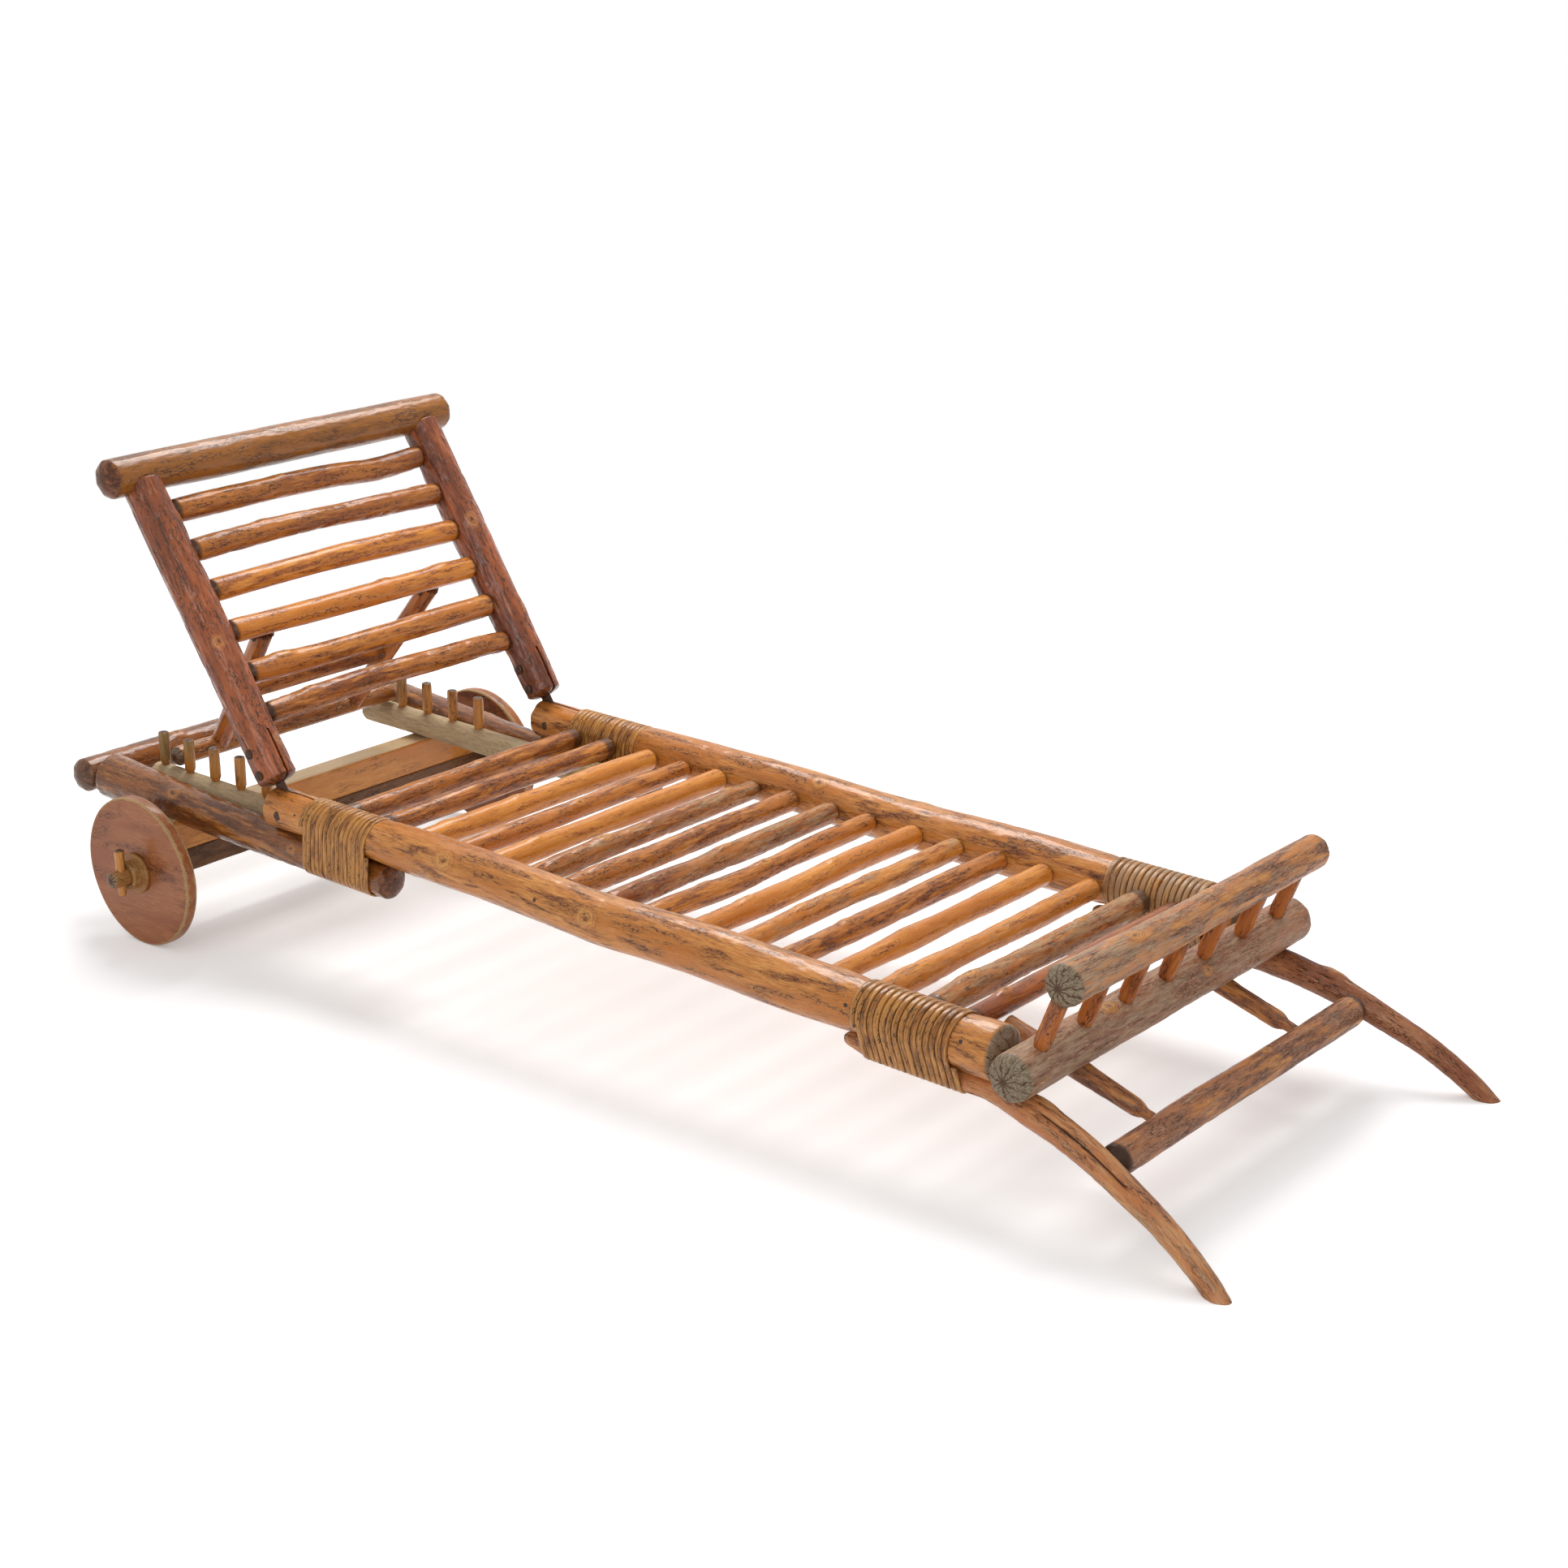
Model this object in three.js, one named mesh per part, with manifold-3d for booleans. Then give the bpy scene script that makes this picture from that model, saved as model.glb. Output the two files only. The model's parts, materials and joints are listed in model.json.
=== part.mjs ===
// A low rustic sun-lounger of bark-on poles. A slatted deck stands on two bent branch legs at the foot and
// rolls on two disc wheels at the head. The back turns on steel straps in slots sawn in the poles. A prop
// hung behind the back drops its foot bar between pegs. Four cane windings lash the poles together.
// Lengths are in millimetres, +Z is up, +X runs to the foot, and the sitter's left side is +Y.

import * as THREE from 'three';
import { mergeVertices } from 'three/addons/utils/BufferGeometryUtils.js';
import Module from 'manifold-3d';

const wasm = await Module();
wasm.setup();

// Clearances and overruns.
const touchGap = 0.3;
const cutOverrun = 6;
const weldDistance = 0.001;

// Deck, measured along the seat rails from the hinge axis.
const railSpan = 590;
const railHeadOverhang = 44;
const railFootReach = 1365;
const railHeadRadius = 31.5;
const railFootRadius = 37;
const railHeadDome = 12;
const railFootDome = 16;
const hingeHeight = 258;
const deckFallDegrees = 2.32;

// Seat slats and the end rung.
const slatCount = 15;
const slatStart = 82;
const slatRadius = 17;
const slatShoulder = 12;
const slatTenonRadius = 10;
const slatTenonDepth = 22;
const slatShiftShares = [
  0, -0.04, 0.1, 0.05, -0.02, -0.11, -0.12, -0.11, -0.19, -0.07, -0.1, -0.1, -0.07, -0.01, 0,
];
const slatGirthShares = [
  1.04, 1, 1.08, 0.94, 1.02, 0.96, 1.05, 1, 0.93, 1.04, 0.98, 1.03, 0.97, 1.02, 1.1,
];
const endRungRadius = 16;
const endRungFromLastSlat = 59;
const endRungFromFoot = 104;
const slatRun = railFootReach - endRungFromFoot - endRungFromLastSlat - slatStart;
const slatPitch = slatRun / (slatCount - 1);

// Hinge straps, their slots and rivets.
const strapThickness = 4;
const strapWidth = 20;
const strapReach = 125;
const strapSlotInRail = 82;
const strapSlotFloor = 12;
const strapSlotSpare = 5;
const rivetRadius = 4;
const rivetHeadRadius = 7;
const rivetHeadHeight = 2.5;
const postRivetFirst = 68;
const postRivetSecond = 105;

// Back, measured along the posts from the hinge axis.
const backAngleDegrees = 56;
const postStart = 48;
const postRadius = 32;
const postDome = 10;
const topRailReach = 580;
const topRailRadius = 33;
const topRailOverhang = 66;
const topRailHalf = railSpan / 2 + topRailOverhang;
const topRailDome = 16;
const backSlatCount = 6;
const backSlatStart = 159;
const topRailAboveSlats = 71;
const backSlatRun = topRailReach - topRailAboveSlats - backSlatStart;
const backSlatPitch = backSlatRun / (backSlatCount - 1);
const backSlatRadius = 19;
const backSlatTenonRadius = 11;
const backSlatTenonDepth = 18;
const backSlatShoulder = 14;
const propSlatIndex = 2;

// Peg rails and pegs.
const pegRailRadius = 22;
const pegRailDrop = 48;
const pegRailRearEnd = 415;
const pegRailFrontEnd = 232;
const pegRailDome = 10;
const pegCount = 5;
const pegPitch = 64;
const pegRearPlace = 388;
const pegRadius = 9;
const pegNeckRadius = 6.5;
const pegNeckHeight = 7;
const pegHeight = 56;

// Lower head rails, the head crossbar, the cross board and the axle.
const headRailFrontEnd = 228;
const headRailRearRadius = 37;
const headRailFrontRadius = 28;
const headRailSwellShare = 0.6;
const headRailRearDrop = 47;
const headRailDome = 9;
const crossbarPlace = 490;
const crossbarRadius = 29;
const crossbarOverhang = 43;
const crossbarHalf = railSpan / 2 + crossbarOverhang;
const crossbarDome = 15;
const boardWidth = 46;
const boardOverhang = 50;
const boardHalf = railSpan / 2 + boardOverhang;
const axlePlace = 277;
const axleBeam = 40;
const axleEndRadius = 15;
const axleEndLength = 87;

// Wheels, hub washers and linch pins.
const wheelRadius = 124;
const wheelWidth = 22;
const wheelOutside = 87;
const wheelPlane = railSpan / 2 + wheelOutside;
const wheelEdge = 4;
const washerRadius = 33;
const washerThickness = 6;
const collarRadius = 24;
const collarLength = 16;
const linchPinRadius = 9;
const linchPinTipRadius = 7;
const linchPinAbove = 48;
const linchPinBelow = 31;

// Foot rails, spindles, bent legs, leg stretcher and braces.
const footRailRadius = 33;
const footRailOverhang = 66;
const footRailHalf = railSpan / 2 + footRailOverhang;
const footRailDome = 20;
const upperFootRailRadius = 27;
const upperFootRailOverhang = 25;
const upperFootRailHalf = railSpan / 2 + upperFootRailOverhang;
const upperFootRailDome = 18;
const upperFootRailOut = 46;
const upperFootRailUp = 126;
const spindleCount = 7;
const spindleEndMargin = 32;
const spindlePitch = 2 * (upperFootRailHalf - spindleEndMargin) / (spindleCount - 1);
const spindleShift = -9;
const spindleRadius = 12;
const spindleFootRadius = 10;
const spindleFootLength = 42;
const legTailFromFoot = 267;
const legTailPlace = railFootReach - legTailFromFoot;
const legLashedRadius = 16;
const legSaddleHeight = 19.6;
const legStraightBeyond = 30;
const legReach = 446;
const legFall = 159;
const legSplay = 65;
const legDome = 10;
const stretcherBeyondFoot = 163;
const stretcherPlace = railFootReach + stretcherBeyondFoot;
const stretcherDrop = 91;
const stretcherRadius = 23;
const stretcherTenonRadius = 10;
const stretcherTenonLength = 24;
const stretcherShoulder = 5;
const braceInset = 117;
const braceSpan = railSpan - 2 * braceInset;
const braceRadius = 13;
const braceNeckRadius = 8;
const braceNeckLength = 26;
const braceRearDrop = 20;

// Prop behind the back.
const propPivotBeyondSlat = 14;
const propLegRadius = 17.5;
const propLegTopInset = 115;
const propLegTopSpan = railSpan - 2 * propLegTopInset;
const propLegFootInset = 148;
const propLegFootSpan = railSpan - 2 * propLegFootInset;
const propLegHeadroom = 10;
const propStretcherShare = 0.47;
const propStretcherRadius = 13;
const footBarRadius = 17;
const footBarInset = 52;
const footBarHalf = railSpan / 2 - footBarInset;
const footBarDome = 9;
const footBarRestGap = 2.8;
const lugThickness = 4;
const lugWidth = 16;
const lugPastSlatCentre = 8;
const lugSlotDepth = 24;
const lugRivetStandoff = 1.4;

// Cane windings.
const caneThickness = 3;
const caneWidth = 8.6;
const headLashingStart = 47;
const headLashingEnd = 204;
const headLashingLean = 13;
const footLashingFromFoot = 63;
const footLashingLength = 170;
const footLashingEnd = railFootReach - footLashingFromFoot;
const footLashingStart = footLashingEnd - footLashingLength;
const lashingLoops = 16;
const lashingUpperSteps = 6;
const lashingLowerSteps = 5;

// Facets of the round pieces.
const railSides = 16;
const poleSides = 12;
const slatSides = 8;
const smallSides = 8;
const wheelSides = 36;
const washerSides = 14;
const domeSteps = 3;
const bendSteps = 12;
const plateSteps = 4;

const degree = Math.PI / 180;
const sides = [{ name: 'right', sign: -1 }, { name: 'left', sign: 1 }];

// Colours and sheen of the real materials.
const finishes = {
  barkPole: { color: 0x8c4a2c, roughness: 0.38, metalness: 0 },
  slat: { color: 0x9a5430, roughness: 0.35, metalness: 0 },
  weatheredPole: { color: 0x8a7460, roughness: 0.7, metalness: 0 },
  peeledPole: { color: 0xa4622f, roughness: 0.4, metalness: 0 },
  dustyPole: { color: 0x9a8b72, roughness: 0.75, metalness: 0 },
  board: { color: 0xb07033, roughness: 0.5, metalness: 0 },
  axle: { color: 0x6a4028, roughness: 0.55, metalness: 0 },
  wheel: { color: 0x9b5f48, roughness: 0.5, metalness: 0 },
  washer: { color: 0x9c7646, roughness: 0.6, metalness: 0 },
  pin: { color: 0xa96a3a, roughness: 0.5, metalness: 0 },
  cane: { color: 0x9c8452, roughness: 0.35, metalness: 0 },
  steel: { color: 0x4c4744, roughness: 0.45, metalness: 0.9 },
};

function finish(name) {
  return new THREE.MeshStandardMaterial({ name, ...finishes[name] });
}

// Turns a closed three.js geometry into a solid for joining and cutting.
function solidFrom(geometry) {
  geometry.deleteAttribute('normal');
  geometry.deleteAttribute('uv');
  const welded = mergeVertices(geometry, weldDistance);
  const corners = welded.index.array;
  const kept = [];
  for (let i = 0; i < corners.length; i += 3) {
    const [a, b, c] = [corners[i], corners[i + 1], corners[i + 2]];
    if (a !== b && b !== c && c !== a) {
      kept.push(a, b, c);
    }
  }
  const vertProperties = new Float32Array(welded.attributes.position.array);
  return new wasm.Manifold(new wasm.Mesh({ numProp: 3, vertProperties, triVerts: new Uint32Array(kept) }));
}

function geometryFrom(solid) {
  const mesh = solid.getMesh();
  const geometry = new THREE.BufferGeometry();
  geometry.setAttribute('position', new THREE.BufferAttribute(new Float32Array(mesh.vertProperties), 3));
  geometry.setIndex(new THREE.BufferAttribute(new Uint32Array(mesh.triVerts), 1));
  geometry.computeVertexNormals();
  return geometry;
}

function addPiece(group, name, solid, finishName) {
  const mesh = new THREE.Mesh(geometryFrom(solid), finish(finishName));
  mesh.name = name;
  group.add(mesh);
  return mesh;
}

// Profile of a round pole that tapers from one radius to the other, with a rounded cut at each end.
function poleProfile(length, startRadius, endRadius, startDome, endDome) {
  const points = [];
  for (let k = 0; k <= domeSteps; k += 1) {
    const turn = (k / domeSteps) * Math.PI / 2;
    points.push(new THREE.Vector2(startRadius * Math.sin(turn), startDome * (1 - Math.cos(turn))));
  }
  for (let k = domeSteps; k >= 0; k -= 1) {
    const turn = (k / domeSteps) * Math.PI / 2;
    points.push(new THREE.Vector2(endRadius * Math.sin(turn), length - endDome * (1 - Math.cos(turn))));
  }
  return points;
}

// Profile of a plain round bar with flat ends.
function barProfile(length, startRadius, endRadius) {
  return [
    new THREE.Vector2(0, 0),
    new THREE.Vector2(startRadius, 0),
    new THREE.Vector2(endRadius, length),
    new THREE.Vector2(0, length),
  ];
}

// Profile of a slat whose ends are whittled down to tenons.
function tenonProfile(length, radius, tenonRadius, tenonLength, shoulder) {
  return [
    new THREE.Vector2(0, 0),
    new THREE.Vector2(tenonRadius, 0),
    new THREE.Vector2(tenonRadius, tenonLength),
    new THREE.Vector2(radius, tenonLength + shoulder),
    new THREE.Vector2(radius, length - tenonLength - shoulder),
    new THREE.Vector2(tenonRadius, length - tenonLength),
    new THREE.Vector2(tenonRadius, length),
    new THREE.Vector2(0, length),
  ];
}

// Turns a profile about the straight line between two places.
function turned(profile, from, to, facets) {
  const geometry = new THREE.LatheGeometry(profile, facets);
  const direction = to.clone().sub(from).normalize();
  geometry.applyQuaternion(new THREE.Quaternion().setFromUnitVectors(new THREE.Vector3(0, 1, 0), direction));
  geometry.translate(from.x, from.y, from.z);
  return solidFrom(geometry);
}

function pole(from, to, startRadius, endRadius, startDome, endDome, facets) {
  const profile = poleProfile(from.distanceTo(to), startRadius, endRadius, startDome, endDome);
  return turned(profile, from, to, facets);
}

function bar(from, to, startRadius, endRadius, facets) {
  return turned(barProfile(from.distanceTo(to), startRadius, endRadius), from, to, facets);
}

function boxBetween(low, high) {
  const size = high.clone().sub(low);
  const geometry = new THREE.BoxGeometry(size.x, size.y, size.z);
  geometry.translate((low.x + high.x) / 2, (low.y + high.y) / 2, (low.z + high.z) / 2);
  return solidFrom(geometry);
}

function place(x, y, z) {
  return new THREE.Vector3(x, y, z);
}

// A pole that follows a curve: a turned pole whose points are carried onto the curve.
function bentPole(curve, radiusAt, extra, dome) {
  const length = curve.getLength();
  const points = [];
  for (let k = 0; k <= domeSteps; k += 1) {
    const turn = (k / domeSteps) * Math.PI / 2;
    const along = dome * (1 - Math.cos(turn));
    points.push(new THREE.Vector2((radiusAt(0) + extra) * Math.sin(turn), along));
  }
  for (let k = 1; k < bendSteps; k += 1) {
    const share = k / bendSteps;
    points.push(new THREE.Vector2(radiusAt(share) + extra, dome + (length - 2 * dome) * share));
  }
  for (let k = domeSteps; k >= 0; k -= 1) {
    const turn = (k / domeSteps) * Math.PI / 2;
    const along = length - dome * (1 - Math.cos(turn));
    points.push(new THREE.Vector2((radiusAt(1) + extra) * Math.sin(turn), along));
  }
  const geometry = new THREE.LatheGeometry(points, poleSides);
  const position = geometry.attributes.position;
  const across = new THREE.Vector3(0, 1, 0);
  for (let i = 0; i < position.count; i += 1) {
    const share = THREE.MathUtils.clamp(position.getY(i) / length, 0, 1);
    const centre = curve.getPointAt(share);
    const tangent = curve.getTangentAt(share);
    const side = across.clone().addScaledVector(tangent, -across.dot(tangent)).normalize();
    const up = side.clone().cross(tangent);
    const point = centre.addScaledVector(side, position.getX(i)).addScaledVector(up, position.getZ(i));
    position.setXYZ(i, point.x, point.y, point.z);
  }
  return solidFrom(geometry);
}

// Groups: the deck slopes gently to the foot, the back turns in the deck and the prop turns in the back.
const lounger = new THREE.Group();
const deck = new THREE.Group();
deck.name = 'deck';
deck.position.z = hingeHeight;
deck.rotation.y = deckFallDegrees * degree;
lounger.add(deck);
deck.updateMatrix();

const back = new THREE.Group();
back.name = 'back';
back.rotation.y = (backAngleDegrees - 90) * degree;
deck.add(back);
back.updateMatrix();

// Where the deck's pieces lie.
const railLength = railHeadOverhang + railFootReach;

function railRadiusAt(along) {
  return THREE.MathUtils.lerp(railHeadRadius, railFootRadius, (along + railHeadOverhang) / railLength);
}

function seatRail(sign, extra) {
  const y = sign * railSpan / 2;
  const [start, end] = [place(-railHeadOverhang, y, 0), place(railFootReach, y, 0)];
  const [head, foot] = [railHeadRadius + extra, railFootRadius + extra];
  return pole(start, end, head, foot, railHeadDome, railFootDome, railSides);
}

const headRailRearEnd = crossbarPlace - crossbarRadius - touchGap;
const headRailLength = headRailRearEnd + headRailFrontEnd;

function headRailRadiusAt(share) {
  const taper = Math.min(1, share / headRailSwellShare);
  return THREE.MathUtils.lerp(headRailRearRadius, headRailFrontRadius, taper);
}

function headRailDropAt(along) {
  const share = (along + headRailRearEnd) / headRailLength;
  return railRadiusAt(along) + headRailRadiusAt(share) + touchGap;
}

function lashedLegDropAt(along) {
  return railRadiusAt(along) + legLashedRadius + touchGap;
}

// What each winding goes round: the seat rail above and another pole at some drop below it.
const windings = [
  {
    name: 'head_lashing',
    start: headLashingStart,
    end: headLashingEnd,
    lean: headLashingLean,
    dropAt: headRailDropAt,
    radiusAt: (along) => headRailRadiusAt((along + headRailRearEnd) / headRailLength),
  },
  {
    name: 'foot_lashing',
    start: footLashingStart,
    end: footLashingEnd,
    lean: 0,
    dropAt: lashedLegDropAt,
    radiusAt: () => legLashedRadius,
  },
];

// The strand leaves both poles along their common tangent. The path radius keeps its chords clear of them.
function windingArcs(along, { dropAt, radiusAt }) {
  const [upperPole, lowerPole, drop] = [railRadiusAt(along), radiusAt(along), dropAt(along)];
  const taper = Math.asin((upperPole - lowerPole) / drop);
  const arc = (poleRadius, start, sweep, steps) => ({
    start,
    step: sweep / steps,
    radius: (poleRadius + touchGap + caneThickness / 2) / Math.cos(sweep / steps / 2),
  });
  return {
    drop,
    upper: arc(upperPole, -taper, Math.PI + 2 * taper, lashingUpperSteps),
    lower: arc(lowerPole, Math.PI + taper, Math.PI - 2 * taper, lashingLowerSteps),
  };
}

// How far a winding reaches in from the rail's axis beside a slat end of some radius. The winding is
// many-sided: its straight run below the rail and its first two flats face the slat.
function windingReach(along, winding, endRadius) {
  const { upper } = windingArcs(along, winding);
  const outer = upper.radius + caneThickness / 2;
  const flats = [
    { facing: upper.start, distance: outer },
    { facing: upper.start + upper.step / 2, distance: outer * Math.cos(upper.step / 2) },
    { facing: upper.start + upper.step * 3 / 2, distance: outer * Math.cos(upper.step / 2) },
  ];
  const reachAt = (height) => Math.min(...flats.map(
    ({ facing, distance }) => (distance - height * Math.sin(facing)) / Math.cos(facing),
  ));
  const corners = [upper.start, upper.start + upper.step].map((angle) => outer * Math.sin(angle));
  const heights = corners.map((height) => THREE.MathUtils.clamp(height, -endRadius, endRadius));
  return Math.max(...[-endRadius, ...heights, endRadius].map(reachAt));
}

// The winding that a slat's end would meet, if any.
function windingBeside(along) {
  const reach = slatTenonRadius;
  return windings.find(({ start, end }) => along > start - reach && along < end + reach);
}

// One seat slat or rung across the deck. Between the rails it has tenons in sawn mortises; beside a winding
// its ends butt on the cane.
function deckSlat(along, radius) {
  const winding = windingBeside(along);
  if (winding) {
    const half = railSpan / 2 - windingReach(along + radius, winding, slatTenonRadius) - touchGap;
    const profile = [
      new THREE.Vector2(0, 0),
      new THREE.Vector2(slatTenonRadius, 0),
      new THREE.Vector2(radius, slatShoulder),
      new THREE.Vector2(radius, 2 * half - slatShoulder),
      new THREE.Vector2(slatTenonRadius, 2 * half),
      new THREE.Vector2(0, 2 * half),
    ];
    return turned(profile, place(along, -half, 0), place(along, half, 0), slatSides);
  }
  const half = railSpan / 2 - railRadiusAt(along) + slatTenonDepth;
  const profile = tenonProfile(2 * half, radius, slatTenonRadius, slatTenonDepth + touchGap, slatShoulder);
  return turned(profile, place(along, -half, 0), place(along, half, 0), slatSides);
}

function slatMortise(along, sign) {
  const inner = railSpan / 2 - railRadiusAt(along) - cutOverrun;
  const floor = railSpan / 2 - railRadiusAt(along) + slatTenonDepth + touchGap;
  const radius = slatTenonRadius + touchGap;
  return bar(place(along, sign * inner, 0), place(along, sign * floor, 0), radius, radius, slatSides);
}

const slatPlaces = slatShiftShares.slice(0, slatCount).map((share, i) => slatStart + slatPitch * (i + share));
const endRungPlace = slatPlaces[slatCount - 1] + endRungFromLastSlat;

for (const { name, sign } of sides) {
  const y = sign * railSpan / 2;
  const halfSlot = strapThickness / 2 + touchGap;
  const boreRadius = rivetRadius + touchGap;
  let rail = seatRail(sign, 0);
  rail = rail.subtract(boxBetween(
    place(-railHeadOverhang - cutOverrun, y - halfSlot, -strapSlotFloor),
    place(strapSlotInRail, y + halfSlot, railFootRadius + cutOverrun),
  ));
  const reach = railHeadRadius + cutOverrun;
  const [start, end] = [place(0, y - reach, 0), place(0, y + reach, 0)];
  rail = rail.subtract(bar(start, end, boreRadius, boreRadius, poleSides));
  for (const along of slatPlaces) {
    if (!windingBeside(along)) {
      rail = rail.subtract(slatMortise(along, sign));
    }
  }
  addPiece(deck, `seat_rail_${name}`, rail, 'barkPole');
}

slatPlaces.forEach((along, i) => {
  const label = String(i + 1).padStart(2, '0');
  addPiece(deck, `seat_slat_${label}`, deckSlat(along, slatRadius * slatGirthShares[i]), 'slat');
});

addPiece(deck, 'end_rung', deckSlat(endRungPlace, endRungRadius), 'peeledPole');

// Head stand: the crossbar, the lower rails lashed under the seat rails, and the peg rails inside them.
function crossbar() {
  const [start, end] = [
    place(-crossbarPlace, -crossbarHalf, -headRailRearDrop),
    place(-crossbarPlace, crossbarHalf, -headRailRearDrop),
  ];
  return pole(start, end, crossbarRadius, crossbarRadius, crossbarDome, crossbarDome, poleSides);
}

function headRail(sign, extra) {
  const y = sign * railSpan / 2;
  const lashedStart = -railHeadOverhang;
  const bendStart = (lashedStart - headRailRearEnd) / 2;
  const curve = new THREE.CatmullRomCurve3([
    place(-headRailRearEnd, y, -headRailRearDrop),
    place(bendStart, y, -(headRailRearDrop + headRailDropAt(lashedStart)) / 2),
    place(lashedStart, y, -headRailDropAt(lashedStart)),
    place(headLashingStart, y, -headRailDropAt(headLashingStart)),
    place(headRailFrontEnd, y, -headRailDropAt(headRailFrontEnd)),
  ]);
  return bentPole(curve, headRailRadiusAt, extra, headRailDome);
}

const pegRailY = railSpan / 2 - headRailRearRadius - touchGap - pegRailRadius;

function pegRail(sign) {
  const y = sign * pegRailY;
  const [start, end] = [place(-pegRailRearEnd, y, -pegRailDrop), place(pegRailFrontEnd, y, -pegRailDrop)];
  return pole(start, end, pegRailRadius, pegRailRadius, pegRailDome, pegRailDome, poleSides);
}

function peg(along, sign) {
  const top = pegRailRadius + pegHeight;
  const profile = [
    new THREE.Vector2(0, 0),
    new THREE.Vector2(pegNeckRadius, 0),
    new THREE.Vector2(pegNeckRadius, pegRailRadius),
    new THREE.Vector2(pegRadius, pegRailRadius + pegNeckHeight),
    new THREE.Vector2(pegRadius, top),
    new THREE.Vector2(0, top),
  ];
  const foot = place(along, sign * pegRailY, -pegRailDrop);
  return turned(profile, foot, foot.clone().add(place(0, 0, top)), smallSides);
}

addPiece(deck, 'head_crossbar', crossbar(), 'barkPole');

for (const { name, sign } of sides) {
  const lower = headRail(sign, 0).subtract(seatRail(sign, touchGap));
  addPiece(deck, `head_rail_${name}`, lower, 'barkPole');
  let rail = pegRail(sign);
  for (let i = 0; i < pegCount; i += 1) {
    rail = rail.add(peg(pegPitch * i - pegRearPlace, sign));
  }
  addPiece(deck, `peg_rail_${name}`, rail, 'dustyPole');
}

// Wheels stand on the ground, so the axle's drop below the deck follows from the wheels' radius.
const fall = deckFallDegrees * degree;
const axleDrop = (hingeHeight + axlePlace * Math.sin(fall) - wheelRadius) / Math.cos(fall);
const beamHalf = wheelPlane - wheelWidth / 2 - touchGap;
const axleHalf = beamHalf + axleEndLength;
const boardTop = -pegRailDrop - pegRailRadius - touchGap;
const boardBottom = -axleDrop + axleBeam / 2 + touchGap;

let board = boxBetween(
  place(-axlePlace - boardWidth / 2, -boardHalf, boardBottom),
  place(-axlePlace + boardWidth / 2, boardHalf, boardTop),
);
for (const { sign } of sides) {
  board = board.subtract(headRail(sign, touchGap));
}
addPiece(deck, 'cross_board', board, 'board');

const collarEnd = wheelPlane + wheelWidth / 2 + touchGap + washerThickness + collarLength;
const linchPinY = collarEnd + touchGap + linchPinRadius;
let axle = boxBetween(
  place(-axlePlace - axleBeam / 2, -beamHalf, -axleDrop - axleBeam / 2),
  place(-axlePlace + axleBeam / 2, beamHalf, -axleDrop + axleBeam / 2),
);
axle = axle.add(bar(
  place(-axlePlace, -axleHalf, -axleDrop),
  place(-axlePlace, axleHalf, -axleDrop),
  axleEndRadius,
  axleEndRadius,
  washerSides,
));
for (const { sign } of sides) {
  const reach = axleEndRadius + cutOverrun;
  axle = axle.subtract(bar(
    place(-axlePlace, sign * linchPinY, -axleDrop - reach),
    place(-axlePlace, sign * linchPinY, -axleDrop + reach),
    linchPinRadius + touchGap,
    linchPinRadius + touchGap,
    smallSides,
  ));
}
addPiece(deck, 'axle', axle, 'axle');

// A closed ring about the axle's line, from a profile whose height runs along the line.
function ring(profile, facets) {
  return solidFrom(new THREE.LatheGeometry([...profile, profile[0].clone()], facets));
}

const hubBore = axleEndRadius / Math.cos(Math.PI / washerSides) + touchGap;
const treadCorner = wheelRadius / Math.cos(Math.PI / wheelSides);
const wheelProfile = [
  new THREE.Vector2(hubBore, -wheelWidth / 2),
  new THREE.Vector2(treadCorner - wheelEdge, -wheelWidth / 2),
  new THREE.Vector2(treadCorner, wheelEdge - wheelWidth / 2),
  new THREE.Vector2(treadCorner, wheelWidth / 2 - wheelEdge),
  new THREE.Vector2(treadCorner - wheelEdge, wheelWidth / 2),
  new THREE.Vector2(hubBore, wheelWidth / 2),
];
const washerProfile = [
  new THREE.Vector2(hubBore, 0),
  new THREE.Vector2(washerRadius, 0),
  new THREE.Vector2(washerRadius, washerThickness),
  new THREE.Vector2(collarRadius, washerThickness),
  new THREE.Vector2(collarRadius, washerThickness + collarLength),
  new THREE.Vector2(hubBore, washerThickness + collarLength),
];
const axleCentre = place(-axlePlace, 0, -axleDrop).applyMatrix4(deck.matrix);

for (const { name, sign } of sides) {
  const wheel = addPiece(lounger, `wheel_${name}`, ring(wheelProfile, wheelSides), 'wheel');
  wheel.position.set(axleCentre.x, sign * wheelPlane, axleCentre.z);
  wheel.rotation.y = Math.PI / wheelSides;

  const washer = addPiece(deck, `hub_washer_${name}`, ring(washerProfile, washerSides), 'washer');
  washer.position.set(-axlePlace, sign * (wheelPlane + wheelWidth / 2 + touchGap), -axleDrop);
  washer.rotation.x = sign > 0 ? 0 : Math.PI;

  const pin = bar(
    place(-axlePlace, sign * linchPinY, -axleDrop - linchPinBelow),
    place(-axlePlace, sign * linchPinY, -axleDrop + linchPinAbove),
    linchPinTipRadius,
    linchPinRadius,
    smallSides,
  );
  addPiece(deck, `linch_pin_${name}`, pin, 'pin');
}

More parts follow.
